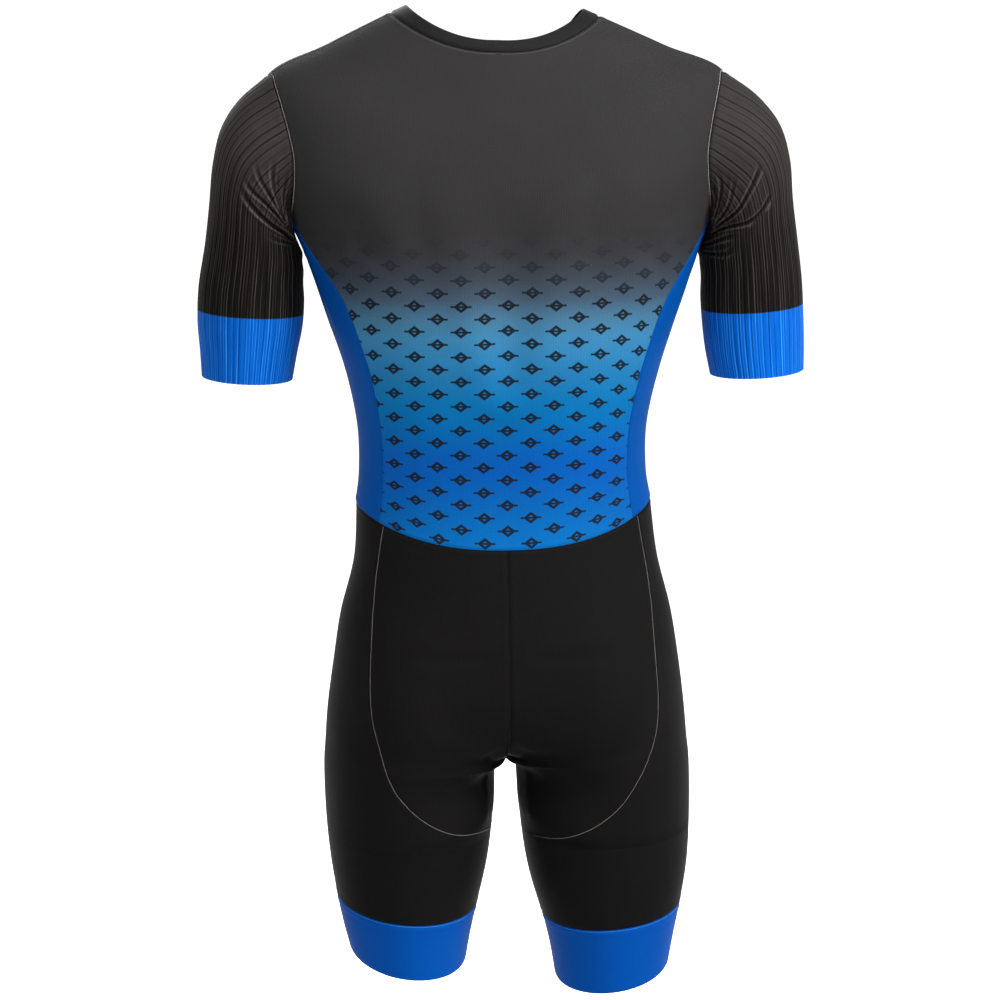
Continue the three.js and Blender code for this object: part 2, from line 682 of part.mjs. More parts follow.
function fromManifold(solid) {
  const mesh = solid.getMesh()
  const geometry = new THREE.BufferGeometry()
  geometry.setAttribute('position', new THREE.BufferAttribute(new Float32Array(mesh.vertProperties), 3))
  geometry.setIndex(new THREE.BufferAttribute(new Uint32Array(mesh.triVerts), 1))
  geometry.computeVertexNormals()
  return geometry
}

function joined(geometries) {
  return geometries.map(toManifold).reduce((all, next) => all.add(next))
}

function box(width, height, depth, x, y, z) {
  return new THREE.BoxGeometry(width, height, depth).translate(x, y, z)
}

// Places a shape drawn with X across, Y up the zip and Z out of the chest.
const sliderFrame = new THREE.Matrix4().makeBasis(
  new THREE.Vector3(-1, 0, 0), sliderUp, new THREE.Vector3(-1, 0, 0).cross(sliderUp))
sliderFrame.setPosition(sliderCentre)

// The slider's face stands a little proud, its back lies behind the cloth.
const sliderFace = 1.6
const bridgeAxis = sliderFace + 1.3

const plate = new THREE.Shape()
plate.moveTo(-sliderWidth / 2 + 1.2, -sliderLength / 2)
plate.lineTo(sliderWidth / 2 - 1.2, -sliderLength / 2)
plate.lineTo(sliderWidth / 2 - 0.6, 0)
plate.lineTo(sliderWidth / 2, sliderLength / 2 - 1.5)
plate.lineTo(sliderWidth / 2 - 1.5, sliderLength / 2)
plate.lineTo(-sliderWidth / 2 + 1.5, sliderLength / 2)
plate.lineTo(-sliderWidth / 2, sliderLength / 2 - 1.5)
plate.lineTo(-sliderWidth / 2 + 0.6, 0)
const plateDepth = 2.6
const plateGeometry = new THREE.ExtrudeGeometry(plate, { depth: plateDepth, bevelEnabled: false })
plateGeometry.translate(0, 0, sliderFace - plateDepth)
const coreDepth = sliderDepth - plateDepth + 0.2

const bridgeFoot = (bridgeLength - 1) / 2
const bridgeTop = sliderFace + bridgeHeight
const slider = joined([
  plateGeometry,
  box(2 * chainHalfWidth, sliderLength - 2, coreDepth, 0, 0, sliderFace - sliderDepth + coreDepth / 2),
  box(bridgeWidth, 1, bridgeHeight + 0.2, 0, bridgeFoot, sliderFace + bridgeHeight / 2 - 0.1),
  box(bridgeWidth, 1, bridgeHeight + 0.2, 0, -bridgeFoot, sliderFace + bridgeHeight / 2 - 0.1),
  box(bridgeWidth, bridgeLength, bridgeBar, 0, 0, bridgeTop - bridgeBar / 2 + 0.1),
])
addMesh('zip_slider', fromManifold(slider).applyMatrix4(sliderFrame), looks.metal)

// The pull tab turns on a round bar through the bridge.
const armCentre = pullWidth / 2 - pullArm / 2
const bar = new THREE.CylinderGeometry(0.55, 0.55, pullWidth - 0.4, 12).rotateZ(Math.PI / 2)
bar.translate(0, 0, bridgeAxis)
const solidLength = pullLength - pullSolidStart
const solidCentre = -(pullSolidStart + pullLength) / 2
const pull = joined([
  bar,
  box(pullArm, pullSolidStart + 0.9, pullThickness, armCentre, -(pullSolidStart - 0.4) / 2, bridgeAxis),
  box(pullArm, pullSolidStart + 0.9, pullThickness, -armCentre, -(pullSolidStart - 0.4) / 2, bridgeAxis),
  box(pullWidth, solidLength, pullThickness, 0, solidCentre, bridgeAxis),
])
const pullTurn = new THREE.Matrix4().makeTranslation(0, 0, bridgeAxis)
pullTurn.multiply(new THREE.Matrix4().makeRotationX(THREE.MathUtils.degToRad(-pullRest)))
pullTurn.multiply(new THREE.Matrix4().makeTranslation(0, 0, -bridgeAxis))
addMesh('zip_pull', fromManifold(pull).applyMatrix4(pullTurn).applyMatrix4(sliderFrame), looks.metal)

export default group
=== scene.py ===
import math
import bpy
import numpy as np
from mathutils import Matrix, Vector


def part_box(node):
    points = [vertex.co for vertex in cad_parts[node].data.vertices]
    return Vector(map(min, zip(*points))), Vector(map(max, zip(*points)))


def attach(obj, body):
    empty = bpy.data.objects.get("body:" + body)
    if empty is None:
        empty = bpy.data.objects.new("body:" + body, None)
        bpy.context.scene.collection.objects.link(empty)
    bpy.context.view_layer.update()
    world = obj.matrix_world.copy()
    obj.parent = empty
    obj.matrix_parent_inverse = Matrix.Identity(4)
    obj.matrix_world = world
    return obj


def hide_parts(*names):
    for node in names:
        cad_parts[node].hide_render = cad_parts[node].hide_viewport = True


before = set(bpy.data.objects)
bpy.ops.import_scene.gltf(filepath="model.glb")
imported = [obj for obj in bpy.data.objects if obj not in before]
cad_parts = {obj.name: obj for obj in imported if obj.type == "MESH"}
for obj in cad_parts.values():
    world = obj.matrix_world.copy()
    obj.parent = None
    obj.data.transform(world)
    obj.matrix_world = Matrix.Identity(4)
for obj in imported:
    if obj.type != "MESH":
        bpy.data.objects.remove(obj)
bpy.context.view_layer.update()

# Short speed skating suit seen from the back, filled out as it is worn.
# Tables and forms are in millimetres, as in the part's source; meshes are made in metres.
# +Z is up, +Y the wearer's front, +X the wearer's right.

mm = 0.001

# Rings of the body from the waist seam up to the rim of the neck, one list per column
bodyRings = {
    "side": [-461, -431, -388, -338, -288, -240, -190, -130, -64, -33, -5, 2],
    "back": [-497, -442, -390, -338, -290, -248, -205, -162, -118, -80, -42, -31],
    "front": [-474, -436, -388, -338, -290, -248, -208, -170, -134, -106, -84, -71],
    "width": [140, 136, 137, 147.5, 163.5, 179, 198, 216, 214, 156, 97, 82],
    "shift": [1, 0.6, 0.8, 1.8, 2, 2.4, 1, 0, -1, -1, -2, -2],
    "rear": [87, 82, 88, 98, 106, 111, 113, 110, 99, 83, 68, 62],
    "fore": [90, 90, 94, 102, 108, 110, 106, 98, 84, 68, 54, 48],
    "full": [2.3, 2.3, 2.3, 2.3, 2.35, 2.4, 2.4, 2.28, 2.1, 2.1, 2.15, 2.2],
    "rightDrop": [0, 0, 0, 0, 0, 0, 0, 0, 1, 4, 5, 5],
}
neckSeam = 10
rimRow = 11
rimFall = {"all": 2.0, "front": 0.8, "starts": 8}      # the front of the neck keeps high for longer

# Back seam of the side panel: angle round the body by body ring
sideSeam = {
    "row": [0, 1, 3, 4, 4.5, 4.9, 5.3, 5.98],
    "angle": [56, 55, 55.5, 56.3, 58.5, 63, 69, 79],
}

# The armhole every 22.5 degrees, from the shoulder point over the back and the underarm to the front
armholeLoop = {
    "angle": [82, 70.5, 63.7, 60.2, 59.5, 62.4, 68.9, 79, 90, 101, 112, 118.5, 121.5, 120.5, 115.5, 103],
    "row": [8.1, 7.94, 7.68, 7.36, 7.0, 6.64, 6.3, 5.98, 5.74, 5.98, 6.3, 6.64, 7.0, 7.36, 7.68, 7.94],
}
armholeMiddle = (90, 6.9)
panelGrow = 1.017

# Rings of the sleeves from the armhole to the hem
sleeveRings = {
    "underLeft": [188, 188, 187, 185.5, 183.5, 184, 183.5, 185.5, 191, 196],
    "underRight": [191, 191, 190, 189.5, 190, 191, 190.5, 192, 195, 200],
    "underZ": [-216, -227, -228.5, -233, -242, -255, -272, -295, -320, -345],
    "outLeft": [214, 241, 258, 266, 270, 275, 282, 284, 282.5, 281.5],
    "outRight": [214, 244, 264, 273, 276, 281, 286, 288, 289, 289],
    "outZ": [-64, -85, -110, -142, -179, -216, -255, -288, -315, -340],
    "depth": [70, 68, 66, 64, 61, 58, 55, 52, 49, 47],
    "curve": [0.8, 0.8, 0.82, 0.86, 0.9, 0.95, 1, 1, 1, 1],
}
sleeveHem = 9
rightHemRise = -2
armLean = 0.05

# Rings of the shorts from the waist seam over the leg band's seam to the hem
shortsRings = {
    "outZ": [-461, -515, -567, -615, -656, -690, -718, -764, -806, -845, -872, -899],
    "backZ": [-497, -547, -600, -652, -690, -708, -717, -766, -812, -857, -886, -914],
    "frontZ": [-474, -530, -580, -628, -680, -708, -717, -766, -812, -857, -886, -914],
    "outLeft": [138, 141.5, 155, 163, 169, 172, 173.8, 172.8, 169.5, 164, 159, 152.5],
    "outRight": [140.5, 147, 159.5, 167, 172, 175, 177.5, 178, 176, 169.5, 163.5, 158],
    "inLeft": [0.2, 0.2, 0.2, 0.2, 0.3, 0.3, 10.5, 12.3, 17.5, 27.5, 34, 39],
    "inRight": [0.2, 0.2, 0.2, 0.2, 0.3, 0.3, 11, 14, 21, 34.5, 42, 47],
    "rear": [87, 96, 104, 107, 105, 100, 96, 91, 85, 78, 71, 65],
    "fore": [90, 91, 91, 90, 88, 85, 82, 78, 74, 69, 64, 60],
    "seat": [0, 1, 6, 13, 17, 15, 0, 0, 0, 0, 0, 0],
    "full": [2.3, 2.3, 2.35, 2.4, 2.4, 2.4, 2.4, 2.4, 2.4, 2.4, 2.4, 2.4],
    "merge": [0, 0, 0, 0.06, 0.36, 1, 1, 1, 1, 1, 1, 1],
    "tilt": [0, 0, 0, 0, 0, 0, 0, 0, 0, 0.03, 0.08, 0.12],
}
legBandSeam = 9
legHem = 11
rightLegDrop = 11
rightBandDrop = 6
legLean = {"left": 0.09, "right": 0.02}

# Seams of the seat panels: share of the way from the centre back to the centre front
seatSeam = {
    "row": [0, 0.5, 1, 1.5, 2, 2.7, 3.4, 4, 4.4,
            4.7, 5, 5.3, 5.6, 6, 6.4, 6.7, 6.95, 7.15, 7.3],
    "Left": [0.294, 0.309, 0.317, 0.305, 0.289, 0.28, 0.278, 0.279, 0.291,
             0.301, 0.304, 0.297, 0.289, 0.275, 0.247, 0.211, 0.159, 0.077, 0.027],
    "Right": [0.334, 0.343, 0.349, 0.336, 0.317, 0.307, 0.311, 0.318, 0.327,
              0.332, 0.331, 0.322, 0.313, 0.297, 0.273, 0.243, 0.202, 0.148, 0.049],
}


def along(values, position, closed=False):
    # smooth curve through a column of a table
    values = np.asarray(values, float)
    position = np.asarray(position, float)
    count = len(values)
    if closed:
        start = np.floor(position).astype(int)
        a, b, c, d = (values[(start + k) % count] for k in (-1, 0, 1, 2))
    else:
        start = np.clip(np.floor(position).astype(int), 0, count - 2)
        ends = ([2 * values[0] - values[1]], values, [2 * values[-1] - values[-2]])
        padded = np.concatenate(ends)
        a, b, c, d = (padded[start + 1 + k] for k in (-1, 0, 1, 2))
    part = position - start
    curve = (2 * a - 5 * b + 4 * c - d) * part ** 2 + (3 * b - a - 3 * c + d) * part ** 3
    return 0.5 * (2 * b + (c - a) * part + curve)


def smoothstep(value, low, high):
    part = np.clip((value - low) / (high - low), 0, 1)
    return part * part * (3 - 2 * part)


def power(value, exponent):
    return np.sign(value) * np.abs(value) ** exponent


def bodyPoint(angle, row, side):
    angle, row, side = np.broadcast_arrays(angle, row, side)
    ring = {column: along(values, row) for column, values in bodyRings.items()}
    turn = np.radians(angle)
    exponent = 2 / ring["full"]
    across = power(np.sin(turn), exponent)
    deep = np.abs(np.cos(turn)) ** exponent
    behind = np.cos(turn) > 0
    x = side * ring["width"] * across + ring["shift"]
    y = np.where(behind, -ring["rear"], ring["fore"]) * deep
    end = np.where(behind, ring["back"], ring["front"])
    drop = np.where(side > 0, ring["rightDrop"] * across, 0)
    late = np.where(behind, 0, rimFall["front"] * smoothstep(row, rimFall["starts"], neckSeam))
    z = ring["side"] + (end - ring["side"]) * deep ** (rimFall["all"] + late) - drop
    return np.stack([x, y, z], -1)


def armhole(turn, grow=1.0):
    # angle and row on the body; the panels' side of the seam is a little larger than the sleeve's
    place = np.asarray(turn, float) / 22.5
    angle = along(armholeLoop["angle"], place, True) - armholeMiddle[0]
    row = along(armholeLoop["row"], place, True) - armholeMiddle[1]
    return armholeMiddle[0] + grow * angle, armholeMiddle[1] + grow * row


def armholeAngle(row, front):
    row = np.asarray(row, float)
    low = np.full(row.shape, 360.0 if front else 0.0)
    high = np.full(row.shape, 180.0)
    for _ in range(40):
        middle = (low + high) / 2
        above = armhole(middle, panelGrow)[1] > row
        low = np.where(above, middle, low)
        high = np.where(above, high, middle)
    return armhole((low + high) / 2, panelGrow)[0]


def sleeveCentre(place, turn, side):
    ring = {column: along(values, place) for column, values in sleeveRings.items()}
    under = np.where(side > 0, ring["underRight"], ring["underLeft"])
    out = np.where(side > 0, ring["outRight"], ring["outLeft"])
    share = (1 + np.cos(turn)) / 2
    rise = np.where(side > 0, rightHemRise * smoothstep(place, 3, 9), 0)
    x = under + (out - under) * share
    y = -ring["depth"] * power(np.sin(turn), ring["curve"])
    z = ring["underZ"] + (ring["outZ"] - ring["underZ"]) * share + rise
    return np.stack([x, y, z], -1)


def sleevePoint(turn, place, side):
    turn, place, side = np.broadcast_arrays(np.asarray(turn, float), place, side)
    radians = np.radians(turn)
    point = sleeveCentre(place, radians, side)
    angle, row = armhole(turn)
    loop = bodyPoint(angle, row, side)
    loop[..., 0] *= side
    pull = np.maximum(1 - place / 4, 0) ** 2
    point = point + (loop - sleeveCentre(0, radians, side)) * pull[..., None]
    point[..., 2] += armLean * np.minimum(place / 5, 1) * point[..., 1]
    point[..., 1] += armLean * np.maximum(-120 - point[..., 2], 0)
    point[..., 0] *= side
    return point


def legPoint(share, row, side):
    share, row, side = np.broadcast_arrays(np.asarray(share, float), row, side)
    ring = {column: along(values, row) for column, values in shortsRings.items()}
    right = side > 0
    lean = np.where(right, legLean["right"], legLean["left"])
    out = np.where(right, ring["outRight"], ring["outLeft"])
    inner = np.maximum(np.where(right, ring["inRight"], ring["inLeft"]), 0.2)
    merge = np.clip(ring["merge"], 0, 1)
    exponent = 2 / ring["full"]
    half = math.pi * share
    whole = math.pi * (2 * share - 1)
    rearHalf = share < 0.5
    depth = np.where(rearHalf, ring["rear"], ring["fore"])
    deep = np.abs(np.cos(half)) ** exponent
    halfX = inner + (out - inner) * power(np.sin(half), exponent)
    fullness = ring["seat"] * np.exp(-(((share - 0.2) / 0.12) ** 2)) * smoothstep(share, 0, 0.15)
    halfY = np.where(rearHalf, -depth * deep - fullness, depth * deep)
    wholeX = inner + (out - inner) * (1 + np.cos(whole)) / 2
    wholeY = depth * np.sin(whole)
    x = (1 - merge) * halfX + merge * wholeX
    y = (1 - merge) * halfY + merge * wholeY
    endShare = (1 - merge) * deep ** 2 + merge * (1 - np.cos(whole)) / 2
    end = np.where(rearHalf, ring["backZ"], ring["frontZ"])
    low = smoothstep(row, 6.5, legBandSeam)
    bandLow = np.clip((row - legBandSeam) / (legHem - legBandSeam), 0, 1)
    drop = np.where(right, rightLegDrop * low + rightBandDrop * bandLow, 0)
    z = ring["outZ"] + (end - ring["outZ"]) * endShare - drop
    z = z + (ring["tilt"] + lean * merge) * y
    y = y + lean * np.maximum(-700 - z, 0)
    return np.stack([side * x, y, z], -1)


def outward(surface, a, b, side, sign, stepA):
    # outward direction of a form, from its two parameters
    alongA = surface(a + stepA, b, side) - surface(a - stepA, b, side)
    alongB = surface(a, b + 0.02, side) - surface(a, b - 0.02, side)
    normal = np.cross(alongA, alongB) * np.broadcast_to(sign, np.broadcast(a, b).shape)[..., None]
    return normal / np.linalg.norm(normal, axis=-1, keepdims=True)


def bodyNormal(angle, row, side):
    return outward(bodyPoint, np.clip(angle, 0.6, 179.4), row, side, side, 0.4)


def legNormal(share, row, side):
    return outward(legPoint, np.clip(share, 0.004, 0.996), row, side, -np.asarray(side), 0.003)


def sleeveNormal(turn, place, side):
    own = outward(sleevePoint, turn, np.maximum(place, 0.05), side, side, 0.5)
    angle, row = armhole(turn)
    shared = bodyNormal(angle, row, side)
    agree = np.maximum((own * shared).sum(-1, keepdims=True), 0)
    blend = 0.75 * agree * (1 - smoothstep(np.asarray(place, float), 0, 1.2))[..., None]
    mixed = own + (shared - own) * blend
    return mixed / np.linalg.norm(mixed, axis=-1, keepdims=True)


def polylineDistance(points, line):
    # distance of each point from a line of points, and how far along the line its nearest place is
    best = np.full(points.shape[:-1], 1e9)
    share = np.zeros(points.shape[:-1])
    steps = np.linalg.norm(np.diff(line, axis=0), axis=1)
    total = steps.sum()
    done = 0.0
    for start, end, step in zip(line[:-1], line[1:], steps):
        run = (end - start) / step ** 2
        part = np.clip(((points - start) * run).sum(-1), 0, 1)
        off = np.linalg.norm(points - (start + part[..., None] * (end - start)), axis=-1)
        nearer = off < best
        share = np.where(nearer, (done + part * step) / total, share)
        best = np.where(nearer, off, best)
        done += step
    return best, share


def creaseRelief(points, creases, surface, side):
    # height of soft troughs (negative) and ridges with a low shoulder of the other sign beside each,
    # and a painted light and shade for each crease: lighter on those shoulders, darker along its trough
    height = np.zeros(points.shape[:-1])
    paintedCreaseShading = np.zeros(points.shape[:-1])
    for crease in creases:
        path = np.array(crease["path"], float)
        steps = np.linspace(0, len(path) - 1, 8 * len(path))
        line = surface(along(path[:, 0], steps), along(path[:, 1], steps), side)
        off, share = polylineDistance(points, line)
        width = crease["width"] * (0.55 + 0.6 * share)
        fade = smoothstep(share, -0.12, 0.1) * (1 - smoothstep(share, crease.get("hold", 0.5), 1.0))
        away = off / width
        profile = np.exp(-away ** 2) - 0.5 * np.exp(-((away - 2.0) / 0.8) ** 2)
        height += crease["height"] * fade * profile
        # painted light and shade: the shoulders beside a crease lighter, its trough darker
        crest = np.exp(-((away - 1.5) / 0.42) ** 2) - 0.95 * np.exp(-(away / 0.75) ** 2)
        paintedCreaseShading += fade * crest * min(abs(crease["height"]) / 2.0, 1)
    return height, np.clip(paintedCreaseShading, -1, 1)


def edgeDistances(points):
    # millimetres to the first and last column and to the first and last row, along the cloth
    acrossSteps = np.linalg.norm(np.diff(points, axis=1), axis=-1)
    upSteps = np.linalg.norm(np.diff(points, axis=0), axis=-1)
    left = np.concatenate([np.zeros((points.shape[0], 1)), np.cumsum(acrossSteps, axis=1)], axis=1)
    bottom = np.concatenate([np.zeros((1, points.shape[1])), np.cumsum(upSteps, axis=0)], axis=0)
    return left, left[:, -1:] - left, bottom, bottom[-1:] - bottom


seamLook = {"dip": 0.55, "dipWidth": 1.0, "ridge": 0.28, "ridgeAt": 3.4, "ridgeWidth": 1.7}


def seamRelief(distance):
    # the cloth dives into the seam, and its folded allowance lies under it just beside
    look = seamLook
    dip = -look["dip"] * np.exp(-(distance / look["dipWidth"]) ** 2)
    return dip + look["ridge"] * np.exp(-((distance - look["ridgeAt"]) / look["ridgeWidth"]) ** 2)


def columnShares(count, fine=(0.0, 0.0035, 0.008, 0.014, 0.021)):
    # evenly spaced columns with closer ones beside both edges
    middle = np.linspace(fine[-1] + 0.008, 1 - fine[-1] - 0.008, count)
    return np.concatenate([fine, middle, 1 - np.array(fine[::-1])])


def clustered(start, end, count):
    # rows that lie closer together at both ends
    return start + (end - start) * (1 - np.cos(np.linspace(0, math.pi, count))) / 2


def finishMesh(name, vertices, faces, cornerUv, looks, faceLooks):
    mesh = bpy.data.meshes.new(name)
    mesh.from_pydata((vertices * mm).tolist(), [], faces.tolist())
    mesh.polygons.foreach_set("use_smooth", np.ones(len(faces), bool))
    mesh.polygons.foreach_set("material_index", faceLooks.astype(np.int32))
    uv = mesh.uv_layers.new(name="cloth")
    uv.data.foreach_set("uv", (cornerUv * mm).astype(np.float32).ravel())
    for look in looks:
        mesh.materials.append(look)
    mesh.set_sharp_from_angle(angle=math.radians(55))
    piece = bpy.data.objects.new(name, mesh)
    bpy.context.scene.collection.objects.link(piece)
    return piece


def clothShell(name, outer, inner, uv, looks, ring=False):
    # closed thin wall: outer side in the first look, the reverse in the second
    rows, columns = outer.shape[:2]
    count = rows * columns
    grid = np.arange(count).reshape(rows, columns)
    if ring:
        grid = np.concatenate([grid, grid[:, :1]], axis=1)
    spots = np.arange(grid.size).reshape(grid.shape)

    def walls(g, shift):
        a, b, c, d = g[:-1, :-1], g[:-1, 1:], g[1:, 1:], g[1:, :-1]
        face = np.stack([a, b, c, d], -1).reshape(-1, 4)
        low = np.stack([g[0, 1:], g[0, :-1], g[0, :-1] + shift, g[0, 1:] + shift], -1)
        high = np.stack([g[-1, :-1], g[-1, 1:], g[-1, 1:] + shift, g[-1, :-1] + shift], -1)
        parts = [face, face[:, ::-1] + shift, low, high]
        if not ring:
            parts.append(np.stack([g[:-1, 0], g[1:, 0], g[1:, 0] + shift, g[:-1, 0] + shift], -1))
            parts.append(np.stack([g[1:, -1], g[:-1, -1], g[:-1, -1] + shift, g[1:, -1] + shift], -1))
        return parts

    parts = walls(grid, count)
    faces = np.concatenate(parts)
    corners = np.concatenate(walls(spots, spots.size))
    faceLooks = np.zeros(len(faces))
    faceLooks[len(parts[0]):2 * len(parts[0])] = 1
    middle = (rows // 2, columns // 3)
    ahead = outer[middle[0], middle[1] + 1] - outer[middle]
    up = outer[middle[0] + 1, middle[1]] - outer[middle]
    if np.dot(np.cross(ahead, up), outer[middle] - inner[middle]) < 0:
        faces = faces[:, ::-1]
        corners = corners[:, ::-1]
    flatUv = np.concatenate([uv.reshape(-1, 2), uv.reshape(-1, 2)])
    vertices = np.concatenate([outer.reshape(-1, 3), inner.reshape(-1, 3)])
    return finishMesh(name, vertices, faces, flatUv[corners.ravel()], looks, faceLooks)


def clothPiece(name, node, looks, outer, inner, uv, ring=False):
    # a sewn piece that stands for its solid and rides with the suit
    piece = clothShell(name, outer, inner, uv, looks, ring)
    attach(piece, "suit")
    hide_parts(node)
    return piece


def hexToLinear(code):
    channels = [int(code[i:i + 2], 16) / 255 for i in (1, 3, 5)]
    linear = [c / 12.92 if c <= 0.04045 else ((c + 0.055) / 1.055) ** 2.4 for c in channels]
    return (*linear, 1.0)


def addNode(tree, kind, inputs=(), out=0, **settings):
    # inputs go by place in a tuple, or by name or place in a dictionary; out picks the output given back
    node = tree.nodes.new("ShaderNode" + kind)
    for key, value in settings.items():
        setattr(node, key, value)
    places = inputs if isinstance(inputs, dict) else dict(enumerate(inputs))
    for key, value in places.items():
        if isinstance(value, bpy.types.NodeSocket):
            tree.links.new(value, node.inputs[key])
        else:
            node.inputs[key].default_value = value
    return node if out is None else node.outputs[out]


def newMaterial(name):
    material = bpy.data.materials.new(name)
    material.use_nodes = True
    tree = material.node_tree
    tree.nodes.clear()
    shader = addNode(tree, "BsdfPrincipled", out=None)
    addNode(tree, "OutputMaterial", {"Surface": shader.outputs[0]}, out=None)
    return material, tree, shader


def clothCoordinates(tree):
    # width and length along the cloth, in metres
    uv = addNode(tree, "UVMap", uv_map="cloth")
    split = addNode(tree, "SeparateXYZ", (uv,), out=None)
    return split.outputs[0], split.outputs[1]


def knitHeight(tree, wale, course):
    # rows of loops: wales run up the cloth, courses across it, half a loop apart
    lag, loopShare = 2.2, 0.35
    across, up = clothCoordinates(tree)
    turns = addNode(tree, "Math", (across, math.pi / (wale * mm)), operation="MULTIPLY")
    climbs = addNode(tree, "Math", (up, 2 * math.pi / (course * mm)), operation="MULTIPLY")
    wave = addNode(tree, "Math", (turns,), operation="SINE")
    arch = addNode(tree, "Math", (wave,), operation="ABSOLUTE")
    lagging = addNode(tree, "Math", (arch, lag), operation="MULTIPLY")
    phase = addNode(tree, "Math", (climbs, lagging), operation="ADD")
    loops = addNode(tree, "Math", (phase,), operation="SINE")
    raised = addNode(tree, "Math", (loops, loopShare), operation="MULTIPLY")
    return addNode(tree, "Math", (arch, raised), operation="ADD")


def tonalVariation(tree, colour, amount, spread):
    # uneven dye and stretch: the tone wanders a few per cent over hand-wide patches, with a fine grain
    fineScale, fineShare = 620.0, 0.55
    place = addNode(tree, "TexCoord", out="Object")
    patches = addNode(tree, "TexNoise", {"Vector": place, "Scale": spread, "Detail": 3.0})
    fine = addNode(tree, "TexNoise", {"Vector": place, "Scale": fineScale, "Detail": 2.0})
    faint = addNode(tree, "Math", (fine, fineShare), operation="MULTIPLY")
    both = addNode(tree, "Math", (patches, faint), operation="ADD")
    value = addNode(tree, "MapRange", {
        "Value": both, "From Min": 0.45, "From Max": 1.1, "To Min": 1 - amount, "To Max": 1 + amount})
    return addNode(tree, "HueSaturation", {"Value": value, "Color": colour})


# Warp-knitted polyester with elastane: smooth, matt to satin face with very fine wales.
# The eye sees an even tone, a soft sheen at grazing light and a faint grain.
knitSettings = {
    "wale": 1.5,            # mm; the real wales lie 0.5 mm apart, drawn coarser so that they show
    "course": 1.3,
    "bump": 0.09,
    "ior": 1.5,
    "grain": 0.10,
    "patch": 9.0,
}


def knitMaterial(name, colourOf, look):
    material, tree, shader = newMaterial(name)
    colour = tonalVariation(tree, colourOf(tree), knitSettings["grain"], knitSettings["patch"])
    height = knitHeight(tree, knitSettings["wale"], knitSettings["course"])
    bump = addNode(tree, "Bump", {
        "Height": height, "Distance": look.get("bump", knitSettings["bump"]) * mm, "Strength": 0.9})
    tree.links.new(colour, shader.inputs["Base Color"])
    tree.links.new(bump, shader.inputs["Normal"])
    shader.inputs["Roughness"].default_value = look["roughness"]
    shader.inputs["IOR"].default_value = knitSettings["ior"]
    shader.inputs["Specular IOR Level"].default_value = look["specular"]
    shader.inputs["Sheen Weight"].default_value = look["sheen"]
    shader.inputs["Sheen Roughness"].default_value = 0.45
    shader.inputs["Sheen Tint"].default_value = hexToLinear(look["sheenTint"])
    return material


def plainColour(code):
    return lambda tree: hexToLinear(code)


# Printed fade of the body: height in millimetres and the cloth's own colour there
fade = [
    (-500, "#004f88"), (-463, "#004680"), (-427, "#004286"), (-408, "#004588"), (-390, "#004c85"),
    (-372, "#005285"), (-354, "#065685"), (-336, "#165984"), (-317, "#216088"), (-299, "#2c6284"),
    (-281, "#33576f"), (-263, "#303f4e"), (-245, "#2a3038"),
    (-225, "#25262a"), (-205, "#222122"), (-185, "#222121"),
]


def fadeColour(tree):
    place = addNode(tree, "TexCoord", out="Object")
    height = addNode(tree, "SeparateXYZ", (place,), out=2)
    low, high = fade[0][0] * mm, fade[-1][0] * mm
    share = addNode(tree, "MapRange", {"Value": height, "From Min": low, "From Max": high})
    ramp = addNode(tree, "ValToRGB", (share,), out=None)
    elements = ramp.color_ramp.elements
    for index, (level, code) in enumerate(fade):
        position = (level * mm - low) / (high - low)
        if index in (0, len(fade) - 1):
            element = elements[0 if index == 0 else -1]
            element.position = position
        else:
            element = elements.new(position)
        element.color = hexToLinear(code)
    return ramp.outputs[0], height


def band(tree, value, middle, half, soft):
    # one inside a strip of the value, nought outside, with soft edges
    shifted = addNode(tree, "Math", (value, middle), operation="SUBTRACT")
    off = addNode(tree, "Math", (shifted,), operation="ABSOLUTE")
    return addNode(tree, "MapRange", {"Value": off, "From Min": half + soft, "From Max": half})


# Overprint of the back: small plain open lozenges with a bar through them, in straight rows
motif = {
    "pitchAcross": 43.0, "pitchUp": 11.8, "halfWidth": 7.2, "halfHeight": 5.6,
    "line": 0.56, "barHalfLength": 9.6, "barHalfHeight": 0.9,
    "colour": "#0e1116", "starts": -200, "full": -262, "strength": 0.96,
}


